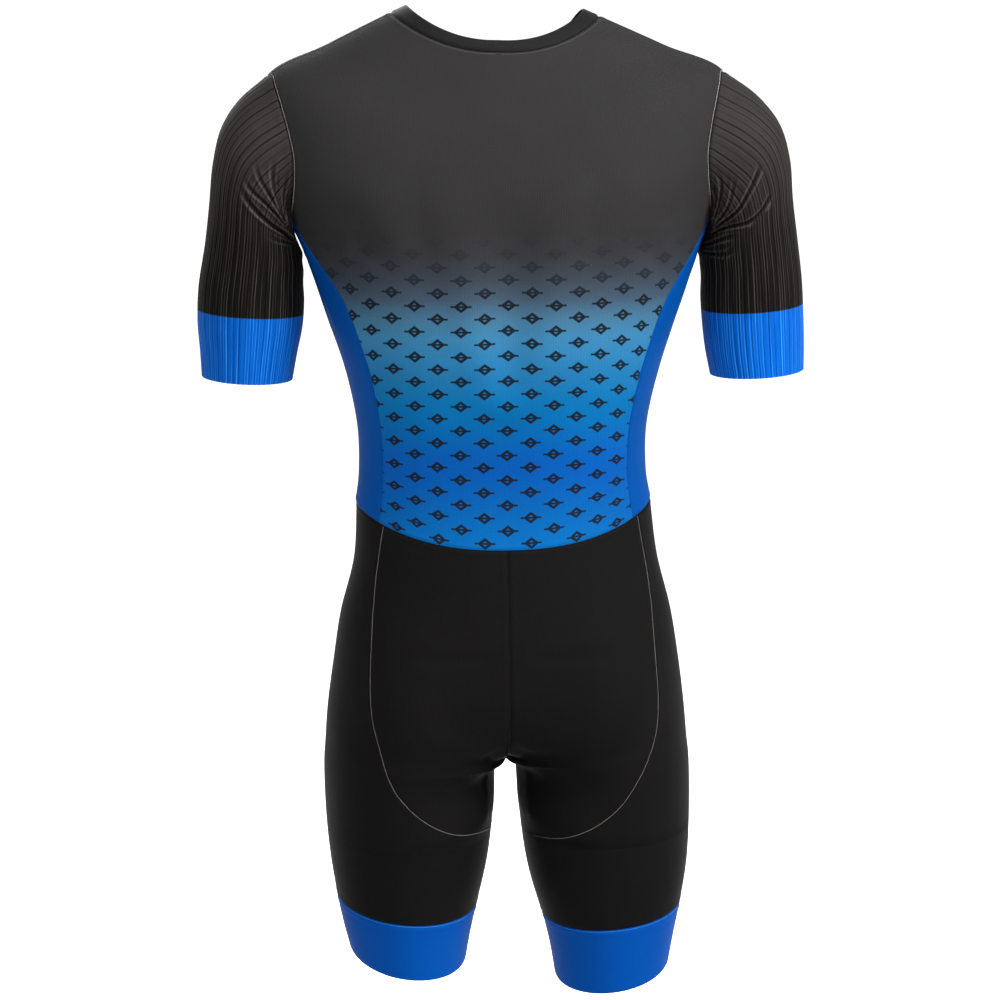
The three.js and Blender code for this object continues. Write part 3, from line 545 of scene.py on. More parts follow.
def backColour(tree):
    look = motif
    base, height = fadeColour(tree)
    across, up = clothCoordinates(tree)
    upCell = addNode(tree, "Math", (up, look["pitchUp"] * mm), operation="DIVIDE")
    level = addNode(tree, "Math", (upCell,), operation="FLOOR")
    counted = addNode(tree, "Math", (level, 100.0), operation="ADD")      # keeps the count above nought
    odd = addNode(tree, "Math", (counted, 2.0), operation="MODULO")
    shift = addNode(tree, "Math", (odd, 0.5), operation="MULTIPLY")       # every other row half a step on
    cells = addNode(tree, "Math", (across, look["pitchAcross"] * mm), operation="DIVIDE")
    acrossCell = addNode(tree, "Math", (cells, shift), operation="ADD")
    offsets = []
    for cell, pitch in ((acrossCell, look["pitchAcross"]), (upCell, look["pitchUp"])):
        part = addNode(tree, "Math", (cell,), operation="FRACT")
        centred = addNode(tree, "Math", (part, 0.5), operation="SUBTRACT")
        scaled = addNode(tree, "Math", (centred, pitch), operation="MULTIPLY")
        offsets.append(addNode(tree, "Math", (scaled,), operation="ABSOLUTE"))
    shareX = addNode(tree, "Math", (offsets[0], look["halfWidth"]), operation="DIVIDE")
    shareY = addNode(tree, "Math", (offsets[1], look["halfHeight"]), operation="DIVIDE")
    reach = addNode(tree, "Math", (shareX, shareY), operation="ADD")
    halfLine = look["line"] / 2
    lozenge = band(tree, reach, 1.0 - halfLine, halfLine - 0.05, 0.1)
    barX = band(tree, offsets[0], 0.0, look["barHalfLength"] - 0.3, 0.6)
    barY = band(tree, offsets[1], 0.0, look["barHalfHeight"] - 0.25, 0.5)
    bar = addNode(tree, "Math", (barX, barY), operation="MULTIPLY")
    mark = addNode(tree, "Math", (lozenge, bar), operation="MAXIMUM")
    fadeIn = addNode(tree, "MapRange", {
        "Value": height, "From Min": look["starts"] * mm, "From Max": look["full"] * mm,
        "To Max": look["strength"]})
    ink = addNode(tree, "Math", (mark, fadeIn), operation="MULTIPLY")
    inkColour = hexToLinear(look["colour"])
    return addNode(tree, "Mix", {0: ink, 6: base, 7: inkColour}, out=2, data_type="RGBA")


looks = {
    "printed": {"roughness": 0.68, "specular": 0.04, "sheen": 0.015, "sheenTint": "#bdb9b6"},
    "side": {
        "colour": "#003a7a", "roughness": 0.6, "specular": 0.02, "sheen": 0.0, "sheenTint": "#8fb2e6"},
    "shorts": {
        "colour": "#0c0b0b", "roughness": 0.62, "specular": 0.03, "sheen": 0.01, "sheenTint": "#9a9494"},
    "collar": {
        "colour": "#121112", "roughness": 0.6, "specular": 0.06, "sheen": 0.02, "sheenTint": "#9a9494"},
    "band": {
        "colour": "#003d86", "roughness": 0.55, "specular": 0.02, "sheen": 0.0, "sheenTint": "#7fa8e0"},
    "rib": {
        "roughness": 0.72, "specular": 0.04, "sheen": 0.02, "sheenTint": "#a8a09c", "bump": 0.05},
    "printReverse": {
        "colour": "#8d97a6", "roughness": 0.8, "specular": 0.1, "sheen": 0.05, "sheenTint": "#ffffff"},
    "darkReverse": {
        "colour": "#1b1a1c", "roughness": 0.8, "specular": 0.06, "sheen": 0.05, "sheenTint": "#8a8a8a"},
}

# Ribbed elastane knit, black, its last part printed bright blue: wide flat ribs, with painted shade in the
# thin grooves and painted highlights as pale fine lines on the ribs. Towards the shoulder the black is
# painted lighter for the light from above, where the knit also opens and greys as it stretches.
ribLook = {
    # the groove colours are painted shade, the line colours painted highlights, and the open colour painted
    # light towards the shoulder on the greying stretched knit
    "black": "#0b0a09", "openAndLit": "#262322", "groove": "#030303", "line": "#423d3a",
    "blue": "#00499a", "blueGrooveShade": "#002a66", "blueHighlightLine": "#2b84d8",
    "printEdge": 63.0, "openAndLitFrom": 120.0, "openAndLitTo": 250.0, "linesPerRib": 2,
}


def unevenShare(tree, across, up, scales, span):
    # patchy strength that changes from rib to rib and slowly along each
    wide = addNode(tree, "Math", (across, scales[0]), operation="MULTIPLY")
    tall = addNode(tree, "Math", (up, scales[1]), operation="MULTIPLY")
    place = addNode(tree, "CombineXYZ", (wide, tall))
    noise = addNode(tree, "TexNoise", {"Vector": place, "Scale": 1.0, "Detail": 4.0})
    return addNode(tree, "MapRange", {"Value": noise, "From Min": span[0], "From Max": span[1]})


def ribColour(tree):
    look = ribLook
    around, up = clothCoordinates(tree)          # around is in ribs, up is the way from the hem
    inRib = addNode(tree, "Math", (around, 1 / mm), operation="MULTIPLY")
    # painted light and shade of the creases, from the sleeve's mesh
    creaseShadingLayer = addNode(tree, "Attribute", out="Fac", attribute_name="creaseShadingLayer")
    # painted light: lighter towards the shoulder, where light falls from above and the stretched knit greys
    openedAndLit = addNode(tree, "MapRange", {
        "Value": up, "From Min": look["openAndLitFrom"] * mm, "From Max": look["openAndLitTo"] * mm,
    }, interpolation_type="SMOOTHSTEP")

    # painted highlights: pale fine lines on the ribs, fainter towards the shoulder, and paler cloth on the
    # crests of creases
    manyRibs = addNode(tree, "Math", (inRib, float(look["linesPerRib"])), operation="MULTIPLY")
    inLine = addNode(tree, "Math", (manyRibs,), operation="FRACT")
    line = band(tree, inLine, 0.5, 0.06, 0.13)
    strength = unevenShare(tree, inRib, up, (1.9, 7.0), (0.42, 0.7))
    loss = addNode(tree, "Math", (openedAndLit, 0.75), operation="MULTIPLY")
    left = addNode(tree, "Math", (1.0, loss), operation="SUBTRACT")
    patchy = addNode(tree, "Math", (line, strength), operation="MULTIPLY")
    lines = addNode(tree, "Math", (patchy, left), operation="MULTIPLY")
    raised = addNode(tree, "Math", (creaseShadingLayer, 0.0), operation="MAXIMUM")
    crest = addNode(tree, "Math", (raised, 0.8), operation="MULTIPLY")
    pale = addNode(tree, "Math", (lines, crest), operation="MAXIMUM")

    # painted shade: dark grooves between the ribs, and the dark bottoms of creases
    turned = addNode(tree, "Math", (inRib, 0.5), operation="ADD")
    inGroove = addNode(tree, "Math", (turned,), operation="FRACT")
    narrow = band(tree, inGroove, 0.5, 0.055, 0.07)
    deep = unevenShare(tree, inRib, up, (0.7, 5.0), (0.3, 0.62))
    groove = addNode(tree, "Math", (narrow, deep), operation="MULTIPLY")
    troughShade = addNode(tree, "Math", (creaseShadingLayer, -0.85), operation="MULTIPLY")
    shade = addNode(tree, "Math", (groove, troughShade), operation="MAXIMUM")
    weakerShade = addNode(tree, "Math", (shade, 0.7), operation="MULTIPLY")

    black = hexToLinear(look["black"])
    for share, code in ((openedAndLit, "openAndLit"), (pale, "line"), (shade, "groove")):
        layer = {0: share, 6: black, 7: hexToLinear(look[code])}
        black = addNode(tree, "Mix", layer, out=2, data_type="RGBA")
    # the blue part gets the same painted highlights and a lighter painted shade
    blue = hexToLinear(look["blue"])
    for share, code in ((pale, "blueHighlightLine"), (weakerShade, "blueGrooveShade")):
        layer = {0: share, 6: blue, 7: hexToLinear(look[code])}
        blue = addNode(tree, "Mix", layer, out=2, data_type="RGBA")
    edge = addNode(tree, "MapRange", {
        "Value": up, "From Min": (look["printEdge"] + 0.5) * mm, "From Max": (look["printEdge"] - 0.5) * mm})
    return addNode(tree, "Mix", {0: edge, 6: black, 7: blue}, out=2, data_type="RGBA")


def knitOf(word, name):
    return knitMaterial(name, plainColour(looks[word]["colour"]), looks[word])


materials = {
    "printedBackKnit": knitMaterial("printedBackKnit", backColour, looks["printed"]),
    "printedFrontKnit": knitMaterial("printedFrontKnit", lambda tree: fadeColour(tree)[0], looks["printed"]),
    "blueSideKnit": knitOf("side", "blueSideKnit"),
    "blackShortsKnit": knitOf("shorts", "blackShortsKnit"),
    "blackCollarKnit": knitOf("collar", "blackCollarKnit"),
    "blueBandKnit": knitOf("band", "blueBandKnit"),
    "ribbedSleeveKnit": knitMaterial("ribbedSleeveKnit", ribColour, looks["rib"]),
    "printReverse": knitOf("printReverse", "printReverse"),
    "darkReverse": knitOf("darkReverse", "darkReverse"),
}


def threadMaterial(name, code, shine):
    # spun polyester sewing thread: matt, with the fine slant of its twist
    material, tree, shader = newMaterial(name)
    place = addNode(tree, "TexCoord", out="Object")
    twist = addNode(tree, "TexWave", {
        "Vector": place, "Scale": 420.0, "Distortion": 1.5}, out=1, bands_direction="DIAGONAL")
    share = addNode(tree, "Math", (twist, 0.35), operation="MULTIPLY")
    layer = {0: share, 6: hexToLinear(code), 7: hexToLinear("#8c8a88")}
    colour = addNode(tree, "Mix", layer, out=2, data_type="RGBA", blend_type="MULTIPLY")
    bump = addNode(tree, "Bump", {"Height": twist, "Distance": 0.06 * mm})
    tree.links.new(colour, shader.inputs["Base Color"])
    tree.links.new(bump, shader.inputs["Normal"])
    shader.inputs["Roughness"].default_value = 0.7
    shader.inputs["Specular IOR Level"].default_value = shine
    shader.inputs["Sheen Weight"].default_value = shine / 2
    return material


# the leg band's thread is painted pale blue, a painted highlight for the light on the band's raised seam
for threadName, code, shine in (
        ("greyThread", "#8f8c8a", 0.3), ("seatThread", "#73706d", 0.3), ("blueHighlightThread", "#2f78cc", 0.1),
        ("dimThread", "#4a4746", 0.3), ("blackThread", "#121112", 0.05), ("overlockThread", "#0d0c0d", 0.05)):
    materials[threadName] = threadMaterial(threadName, code, shine)
print("materials made:", len(materials))

# Body panels
underarmRow = float(armhole(157.5, panelGrow)[1])
shoulderAngle, shoulderRow = (float(value) for value in armhole(0, panelGrow))
halfGapAngle = 0.06
rowGap = 0.008
cloth = {"thickness": 1.0}

# Soft troughs (negative) and ridges of the back and the fronts; path by angle and row, sizes in millimetres
backFolds = [
    {"path": [(2, 3.0), (1, 5.0), (1, 7.4)], "width": 26, "height": -2.6, "hold": 0.6},
    {"path": [(26, 5.6), (30, 6.6), (34, 7.3)], "width": 22, "height": 1.8, "hold": 0.6},
    {"path": [(48, 5.0), (40, 5.5), (30, 5.7)], "width": 9, "height": -0.9, "hold": 0.5},
    {"path": [(50, 5.3), (44, 5.9), (36, 6.2)], "width": 8, "height": 0.8, "hold": 0.5},
]
frontFolds = [
    {"path": [(128, 5.6), (140, 5.3), (152, 5.2)], "width": 11, "height": -1.0, "hold": 0.5},
    {"path": [(126, 6.0), (138, 6.1), (148, 6.3)], "width": 10, "height": 0.9, "hold": 0.5},
    {"path": [(150, 1.0), (140, 1.6), (128, 1.9)], "width": 12, "height": -0.7, "hold": 0.5},
]


def backEdge(rows):
    below = np.interp(rows, sideSeam["row"], sideSeam["angle"]) - halfGapAngle
    beside = armholeAngle(rows, False)
    above = np.full_like(rows, shoulderAngle - halfGapAngle)
    return np.where(rows < underarmRow, below, np.where(rows < shoulderRow, beside, above))


def frontEdge(rows):
    below = 180 - np.interp(rows, sideSeam["row"], sideSeam["angle"]) + halfGapAngle
    beside = armholeAngle(rows, True)
    above = np.full_like(rows, shoulderAngle + halfGapAngle)
    return np.where(rows < underarmRow, below, np.where(rows < shoulderRow, beside, above))


def angleAt(rows, distance):
    share = distance / along(bodyRings["width"], rows)
    return np.degrees(np.arcsin(share ** (along(bodyRings["full"], rows) / 2)))


bodyRows = np.concatenate([
    clustered(rowGap, underarmRow, 104)[:-1],
    clustered(underarmRow, shoulderRow, 76)[:-1],
    clustered(shoulderRow, neckSeam - rowGap, 34),
])


def bodyPanel(rows, first, last, columns, side, folds):
    # grid of a body panel: points, outward directions and the height of its folds
    shares = columnShares(columns)
    here = first(rows)[:, None] + (last(rows) - first(rows))[:, None] * shares[None, :]
    row = np.broadcast_to(rows[:, None], here.shape)
    sides = np.where(here < 0, -1.0, 1.0) if side == 0 else np.full(here.shape, float(side))
    points = bodyPoint(np.abs(here), row, sides)
    normals = bodyNormal(np.abs(here), row, sides)
    height = np.zeros(here.shape)
    for foldSide in ((1.0, -1.0) if side == 0 else (float(side),)):
        uneven = 1.0 if foldSide > 0 else 0.8
        height += uneven * creaseRelief(points, folds, bodyPoint, foldSide)[0]
    return points, normals, height


def clothUv(points, centred):
    left, right, bottom, _ = edgeDistances(points)
    across = (left - right) / 2 if centred else left
    middle = points.shape[1] // 2
    up = np.broadcast_to(bottom[:, middle:middle + 1], across.shape)
    return np.stack([across, up], -1)


def layers(points, normals, folds, fine, thickness=None):
    thickness = cloth["thickness"] if thickness is None else thickness
    outer = points + normals * (folds + fine)[..., None]
    inner = points + normals * (folds - thickness)[..., None]
    return outer, inner


def panelFine(points):
    left, right, bottom, top = edgeDistances(points)
    return seamRelief(left) + seamRelief(right) + seamRelief(bottom) + seamRelief(top)


points, normals, folds = bodyPanel(bodyRows, lambda r: -backEdge(r), backEdge, 130, 0, backFolds)
outer, inner = layers(points, normals, folds, panelFine(points))
clothPiece("backPanel", "back_panel",
           [materials["printedBackKnit"], materials["printReverse"]],
           outer, inner, clothUv(points, True))
print("back panel:", points.shape)

for side, word in ((1.0, "Right"), (-1.0, "Left")):
    zipSide = lambda r: 180 - angleAt(r, 5)
    points, normals, folds = bodyPanel(bodyRows, frontEdge, zipSide, 52, side, frontFolds)
    outer, inner = layers(points, normals, folds, panelFine(points))
    clothPiece("front" + word, "front_" + word.lower(),
               [materials["printedFrontKnit"], materials["printReverse"]],
               outer, inner, clothUv(points, False))

# Side panels end under the arm along the lowest part of the armhole
sideFolds = [
    {"path": [(84, 5.2), (82, 4.6), (80, 3.6)], "width": 6, "height": -1.6, "hold": 0.4},
    {"path": [(98, 5.2), (100, 4.4), (102, 3.4)], "width": 7, "height": 1.2, "hold": 0.4},
]
for side, word in ((1.0, "Right"), (-1.0, "Left")):
    part = columnShares(34)[None, :]
    level = clustered(rowGap / 5.8, 1, 130)[:, None]
    topAngle, topRow = armhole(157.5 + 45 * part, panelGrow)
    row = topRow * level
    seam = np.interp(row, sideSeam["row"], sideSeam["angle"])
    topSeam = np.interp(topRow, sideSeam["row"], sideSeam["angle"])
    near = smoothstep(level, 0.6, 1)
    angle = seam + (180 - 2 * seam) * part + (topAngle - topSeam - (180 - 2 * topSeam) * part) * near
    angle = angle + halfGapAngle * (1 - 2 * part)
    points = bodyPoint(angle, row, side)
    normals = bodyNormal(angle, row, np.full(angle.shape, side))
    folds = creaseRelief(points, sideFolds, bodyPoint, side)[0]
    outer, inner = layers(points, normals, folds, panelFine(points))
    clothPiece("sidePanel" + word, "side_panel_" + word.lower(),
               [materials["blueSideKnit"], materials["printReverse"]],
               outer, inner, clothUv(points, False))

# Neck band: folded strip, its top edge rounded over
collarLook = {"thickness": 1.4, "roll": 0.45, "rollWidth": 0.9}
collarRows = clustered(neckSeam + 4 * rowGap, rimRow, 16)
shares = np.linspace(0, 1, 300)
edge = 180 - angleAt(collarRows, 5)
here = -edge[:, None] + 2 * edge[:, None] * shares[None, :]
row = np.broadcast_to(collarRows[:, None], here.shape)
sides = np.where(here < 0, -1.0, 1.0)
points = bodyPoint(np.abs(here), row, sides)
normals = bodyNormal(np.abs(here), row, sides)
_, _, bottom, top = edgeDistances(points)
fine = seamRelief(bottom) - collarLook["roll"] * np.exp(-(top / collarLook["rollWidth"]) ** 2)
outer, inner = layers(points, normals, np.zeros(fine.shape), fine, collarLook["thickness"])
clothPiece("neckBand", "collar", [materials["blackCollarKnit"], materials["darkReverse"]],
           outer, inner, clothUv(points, True))
print("body pieces done")

# Ribbed sleeves
ribs = {
    "count": 54, "columnsPerRib": 6, "depth": 0.8, "grooveShare": 0.12, "scallop": 0.3, "thickness": 1.3,
    "creasedTo": 3.4,
}
sleeveSoft = [
    {"fromTurn": 140, "fromPlace": 0.3, "toTurn": 78, "toPlace": 1.1, "width": 7, "height": -2.6},
    {"fromTurn": 150, "fromPlace": 0.6, "toTurn": 88, "toPlace": 2.1, "width": 7, "height": 2.4},
    {"fromTurn": 156, "fromPlace": 1.2, "toTurn": 100, "toPlace": 3.2, "width": 8, "height": -2.2},
    {"fromTurn": 222, "fromPlace": 0.3, "toTurn": 285, "toPlace": 1.2, "width": 7, "height": -2.4},
    {"fromTurn": 208, "fromPlace": 0.9, "toTurn": 268, "toPlace": 2.6, "width": 8, "height": 2.2},
    {"fromTurn": 180, "fromPlace": 0.5, "toTurn": 180, "toPlace": 3.4, "width": 24, "height": 3.2},
]


def sleeveFoldHeight(turn, place):
    total = np.zeros(np.broadcast(turn, place).shape)
    for fold in sleeveSoft:
        runX = fold["toTurn"] - fold["fromTurn"]
        runY = 20 * (fold["toPlace"] - fold["fromPlace"])
        atX = turn - fold["fromTurn"]
        atY = 20 * (place - fold["fromPlace"])
        length = math.hypot(runX, runY)
        share = (atX * runX + atY * runY) / length ** 2
        off = (atX * runY - atY * runX) / length
        fading = smoothstep(share, -0.05, 0.2) * (1 - smoothstep(share, 0.6, 1.1))
        total = total + fold["height"] * fading * np.exp(-((off / fold["width"]) ** 2))
    return total


# Creases that fan from the underarm; path by turn and place on the sleeve
sleeveCreases = {
    "Left": [
        {"path": [(124, 1.3), (99, 1.12), (86, 0.95), (75, 0.65)],
         "width": 1.9, "height": -1.9, "hold": 0.7},
        {"path": [(126, 1.35), (92, 1.5), (78, 1.53), (66, 1.33)],
         "width": 1.8, "height": -1.7, "hold": 0.7},
        {"path": [(126, 1.5), (96, 1.98), (78, 2.23), (65, 2.15)],
         "width": 1.9, "height": -1.7, "hold": 0.7},
        {"path": [(158, 1.0), (121, 2.23), (99, 2.65), (78, 2.7), (64, 2.5)],
         "width": 2.2, "height": -2.2, "hold": 0.7},
        {"path": [(122, 1.05), (106, 0.62), (93, 0.3)], "width": 1.6, "height": -1.2, "hold": 0.7},
        {"path": [(122, 1.15), (95, 0.88), (84, 0.58)], "width": 1.6, "height": -1.2, "hold": 0.6},
        {"path": [(150, 1.9), (122, 2.9), (100, 3.3)], "width": 2.0, "height": -0.9, "hold": 0.5},
        {"path": [(230, 1.3), (246, 1.1), (268, 0.7)], "width": 2.2, "height": -1.6, "hold": 0.6},
        {"path": [(228, 1.5), (248, 1.7), (276, 1.6)], "width": 2.0, "height": -1.6, "hold": 0.6},
        {"path": [(222, 1.7), (246, 2.4), (282, 2.5)], "width": 2.2, "height": -1.7, "hold": 0.6},
    ],
    "Right": [
        {"path": [(142, 1.4), (110, 2.23), (89, 2.2), (64, 1.98)],
         "width": 1.9, "height": -2.1, "hold": 0.85},
        {"path": [(152, 1.3), (107, 3.0), (83, 3.33), (64, 3.1)],
         "width": 1.9, "height": -1.9, "hold": 0.85},
        {"path": [(138, 1.3), (115, 1.58), (100, 1.38), (85, 1.15)],
         "width": 1.7, "height": -1.4, "hold": 0.6},
        {"path": [(136, 1.05), (119, 0.85), (105, 0.75), (94, 0.45)],
         "width": 1.7, "height": -1.6, "hold": 0.7},
        {"path": [(140, 0.75), (123, 0.4), (108, 0.22)], "width": 1.6, "height": -1.2, "hold": 0.6},
        {"path": [(166, 2.0), (128, 2.93), (103, 3.65)], "width": 2.1, "height": -1.4, "hold": 0.6},
        {"path": [(163, 2.9), (129, 3.83), (109, 3.98)], "width": 2.1, "height": -1.3, "hold": 0.6},
        {"path": [(228, 1.3), (248, 1.2), (272, 0.9)], "width": 2.2, "height": -1.6, "hold": 0.6},
        {"path": [(224, 1.6), (246, 2.1), (278, 2.2)], "width": 2.0, "height": -1.6, "hold": 0.6},
        {"path": [(216, 2.1), (242, 2.9), (276, 3.1)], "width": 2.2, "height": -1.4, "hold": 0.6},
    ],
}

for side, word in ((1.0, "Right"), (-1.0, "Left")):
    columns = ribs["count"] * ribs["columnsPerRib"]
    turn = (np.arange(columns) * 360 / columns)[None, :]
    creased = np.linspace(0.04, ribs["creasedTo"], 62)[:-1]
    place = np.concatenate([creased, np.linspace(ribs["creasedTo"], sleeveHem, 40)])[:, None]
    points = sleevePoint(turn, place, side)
    shape = points.shape[:2]
    wholeTurn = np.broadcast_to(turn, shape)
    wholePlace = np.broadcast_to(place, shape)
    normals = sleeveNormal(wholeTurn, wholePlace, np.full(shape, side))
    folds = sleeveFoldHeight(wholeTurn, wholePlace)
    creases, paintedCreaseShading = creaseRelief(points, sleeveCreases[word], sleevePoint, side)
    folds = folds + creases
    ribPosition = wholeTurn * ribs["count"] / 360
    inRib = np.minimum(np.mod(ribPosition, 1), 1 - np.mod(ribPosition, 1))
    groove = np.exp(-(inRib / ribs["grooveShare"]) ** 2)
    uneven = 0.75 + 0.25 * np.sin(1.7 * np.floor(ribPosition + 0.5) + 0.9 * wholePlace)
    fine = -ribs["depth"] * groove * uneven * smoothstep(wholePlace, 0.02, 0.35)
    rings = np.concatenate([points, points[:, :1]], axis=1)
    around, _, bottom, top = edgeDistances(rings)
    fine = fine + seamRelief(bottom[:, :-1])
    outer, inner = layers(points, normals, folds, fine, ribs["thickness"])
    scallop = ribs["scallop"] * np.cos(math.pi * ribPosition) ** 2 * smoothstep(wholePlace, 8.75, 9)
    outer[..., 2] -= scallop
    inner[..., 2] -= scallop
    ribUv = np.concatenate([ribPosition, np.full((shape[0], 1), float(ribs["count"]))], axis=1)
    uv = np.stack([ribUv, top], -1)
    sleeve = clothPiece("sleeve" + word, "sleeve_" + word.lower(),
                        [materials["ribbedSleeveKnit"], materials["darkReverse"]],
                        outer, inner, uv, ring=True)
    # painted light and shade of the creases, lighter on their crests and darker in their troughs, kept for
    # the sleeve's material
    creaseShadingLayer = sleeve.data.attributes.new("creaseShadingLayer", "FLOAT", "POINT")
    creaseShadingLayer.data.foreach_set("value", np.tile(paintedCreaseShading.ravel(), 2).astype(np.float32))
print("sleeves done")

# Shorts
halfGapShare = 0.0005
seamEnd = seatSeam["row"][-1]
shortFolds = [
    {"path": [(0.03, 1.9), (0.12, 2.0), (0.24, 2.1)], "width": 7, "height": -0.8, "hold": 0.5},
    {"path": [(0.02, 3.9), (0.10, 4.6), (0.22, 4.9)], "width": 12, "height": -2.2, "hold": 0.5},
    {"path": [(0.02, 5.2), (0.09, 5.5), (0.18, 5.6)], "width": 9, "height": 1.2, "hold": 0.5},
    {"path": [(0.05, 6.3), (0.14, 6.1), (0.27, 6.0)], "width": 26, "height": -5.0, "hold": 0.6},
]
legFolds = [
    {"path": [(0.97, 4.6), (0.88, 4.2), (0.76, 4.0)], "width": 10, "height": -1.4, "hold": 0.5},
    {"path": [(0.97, 5.4), (0.90, 5.2), (0.80, 5.1)], "width": 9, "height": 1.1, "hold": 0.5},
    {"path": [(0.95, 8.2), (0.80, 8.0), (0.66, 8.1)], "width": 9, "height": -0.8, "hold": 0.5},
]


def seamShare(rows, word):
    # smooth curve through the table, read off by row
    steps = np.linspace(0, len(seatSeam["row"]) - 1, 600)
    return np.interp(rows, along(seatSeam["row"], steps), along(seatSeam[word], steps))


def onShorts(share, rows, side):
    # a path on the folded cloth of the shorts
    path = legPoint(share, rows, side)
    normals = legNormal(share, rows, side)
    height = creaseRelief(path, shortFolds + legFolds, legPoint, side)[0]
    return path + normals * height[:, None], normals


def legPanel(rows, first, last, columns, side, folds):
    shares = columnShares(columns)
    here = first(rows)[:, None] + (last(rows) - first(rows))[:, None] * shares[None, :]
    row = np.broadcast_to(rows[:, None], here.shape)
    sides = np.full(here.shape, side)
    points = legPoint(here, row, sides)
    normals = legNormal(here, row, sides)
    height = creaseRelief(points, folds, legPoint, side)[0]
    return points, normals, height


seatRows = np.concatenate([clustered(rowGap, 5, 90)[:-1], clustered(5, seamEnd, 50)])
lowRows = clustered(seamEnd + 0.004, legBandSeam - rowGap, 44)
# millimetres from the seam to the soft fold of a leg band, its width and height, and the turn of its hem
bandLook = {
    "thickness": 1.3, "fold": 0.35, "ridgeAt": 5.6, "ridgeWidth": 1.1, "troughAt": 7.8, "troughWidth": 1.2,
    "hem": 0.5, "hemWidth": 0.9,
}
for side, word in ((1.0, "Right"), (-1.0, "Left")):
    points, normals, folds = legPanel(
        seatRows, lambda r: np.full_like(r, halfGapShare), lambda r: seamShare(r, word) - halfGapShare,
        46, side, shortFolds + legFolds)
    outer, inner = layers(points, normals, folds, panelFine(points))
    clothPiece("seat" + word, "seat_" + word.lower(),
               [materials["blackShortsKnit"], materials["darkReverse"]],
               outer, inner, clothUv(points, False))
    legRows = np.concatenate([seatRows, lowRows])
    legStart = lambda r: np.where(r > seamEnd + 0.002, halfGapShare, seamShare(r, word) + halfGapShare)
    points, normals, folds = legPanel(
        legRows, legStart, lambda r: np.full_like(r, 1 - halfGapShare), 84, side, shortFolds + legFolds)
    outer, inner = layers(points, normals, folds, panelFine(points))
    clothPiece("leg" + word, "leg_" + word.lower(),
               [materials["blackShortsKnit"], materials["darkReverse"]],
               outer, inner, clothUv(points, False))

    # Leg band: smooth gripper band with a soft fold line under its seam and a turned hem
    bandRows = clustered(legBandSeam + rowGap, legHem, 34)[:, None]
    share = np.linspace(0, 1, 181)[None, :-1]
    points = legPoint(share, bandRows, side)
    normals = legNormal(*np.broadcast_arrays(share, bandRows), side)
    _, _, down, up = edgeDistances(points)
    ridge = np.exp(-((down - bandLook["ridgeAt"]) / bandLook["ridgeWidth"]) ** 2)
    trough = np.exp(-((down - bandLook["troughAt"]) / bandLook["troughWidth"]) ** 2)
    hem = np.exp(-(up / bandLook["hemWidth"]) ** 2)
    fine = seamRelief(down) + bandLook["fold"] * (ridge - trough) - bandLook["hem"] * hem
    outer, inner = layers(points, normals, np.zeros(fine.shape), fine, bandLook["thickness"])
    around = edgeDistances(np.concatenate([points, points[:, :1]], axis=1))[0]
    ups = np.concatenate([up, up[:, :1]], axis=1)
    clothPiece("legBand" + word, "leg_band_" + word.lower(),
               [materials["blueBandKnit"], materials["darkReverse"]],
               outer, inner, np.stack([around, ups], -1), ring=True)
print("shorts done")


def seatPath(word, start, end, count):
    # along the curved seam of a seat panel and on to the crotch
    rows = np.linspace(start, seamEnd, 160)
    share = np.concatenate([seamShare(rows, word), np.linspace(seatSeam[word][-1], end, count)])
    return share, np.concatenate([rows, np.full(count, seamEnd)])


def seamRibbon(path, normals, look):
    # overlocked seam allowance: a dark ribbon that lies under a seam and bridges it
    run = np.gradient(path, axis=0)
    across = np.cross(normals, run)
    across /= np.maximum(np.linalg.norm(across, axis=1, keepdims=True), 1e-6)
    offsets = np.linspace(-look["half"], look["half"], 5)
    top = path[:, None] + across[:, None] * offsets[None, :, None] - normals[:, None] * look["under"]
    return top, top - normals[:, None] * look["thickness"]


overlock = {"half": 3.4, "under": 1.05, "thickness": 0.7}
allowanceMaterial = materials["overlockThread"]
for side, word in ((1.0, "Right"), (-1.0, "Left")):
    turn = np.linspace(0, 360, 241)
    holeAngle, holeRow = armhole(turn, 1 + (panelGrow - 1) * 0.5)
    seamRows = np.linspace(0.0, underarmRow, 120)
    seamAngle = np.interp(seamRows, sideSeam["row"], sideSeam["angle"])
    shoulderRows = np.linspace(shoulderRow, neckSeam, 50)
    rims = np.linspace(0, 176, 121)
    wholeRound = np.linspace(0, 1, 161)
    upperLeg = np.linspace(0, 5, 90)
    bodyPaths = {
        "armhole": (holeAngle, holeRow),
        "sideBack": (seamAngle, seamRows),
        "sideFront": (180 - seamAngle, seamRows),
        "shoulder": (np.full(50, shoulderAngle), shoulderRows),
        "neck": (rims, np.full(121, neckSeam + 0.016)),
        "waist": (rims, np.zeros(121)),
    }
    legPaths = {
        "seat": seatPath(word, 0, 0.002, 10),
        "centreBack": (np.full(90, 0.002), upperLeg),
        "centreFront": (np.full(90, 0.998), upperLeg),
        "inner": (np.full(60, 0.002), np.linspace(5, legBandSeam, 60)),
        "band": (wholeRound, np.full(161, float(legBandSeam))),
    }
    lines = [(name, bodyPoint(*path, side), bodyNormal(*path, side)) for name, path in bodyPaths.items()]
    lines += [(name, *onShorts(*path, side)) for name, path in legPaths.items()]
    for name, path, normals in lines:
        top, under = seamRibbon(path, normals, overlock)
        both = [allowanceMaterial, allowanceMaterial]
        ribbon = clothShell(name + "Allowance" + word, top, under, clothUv(top, True), both)
        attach(ribbon, "suit")
print("seam allowances done")


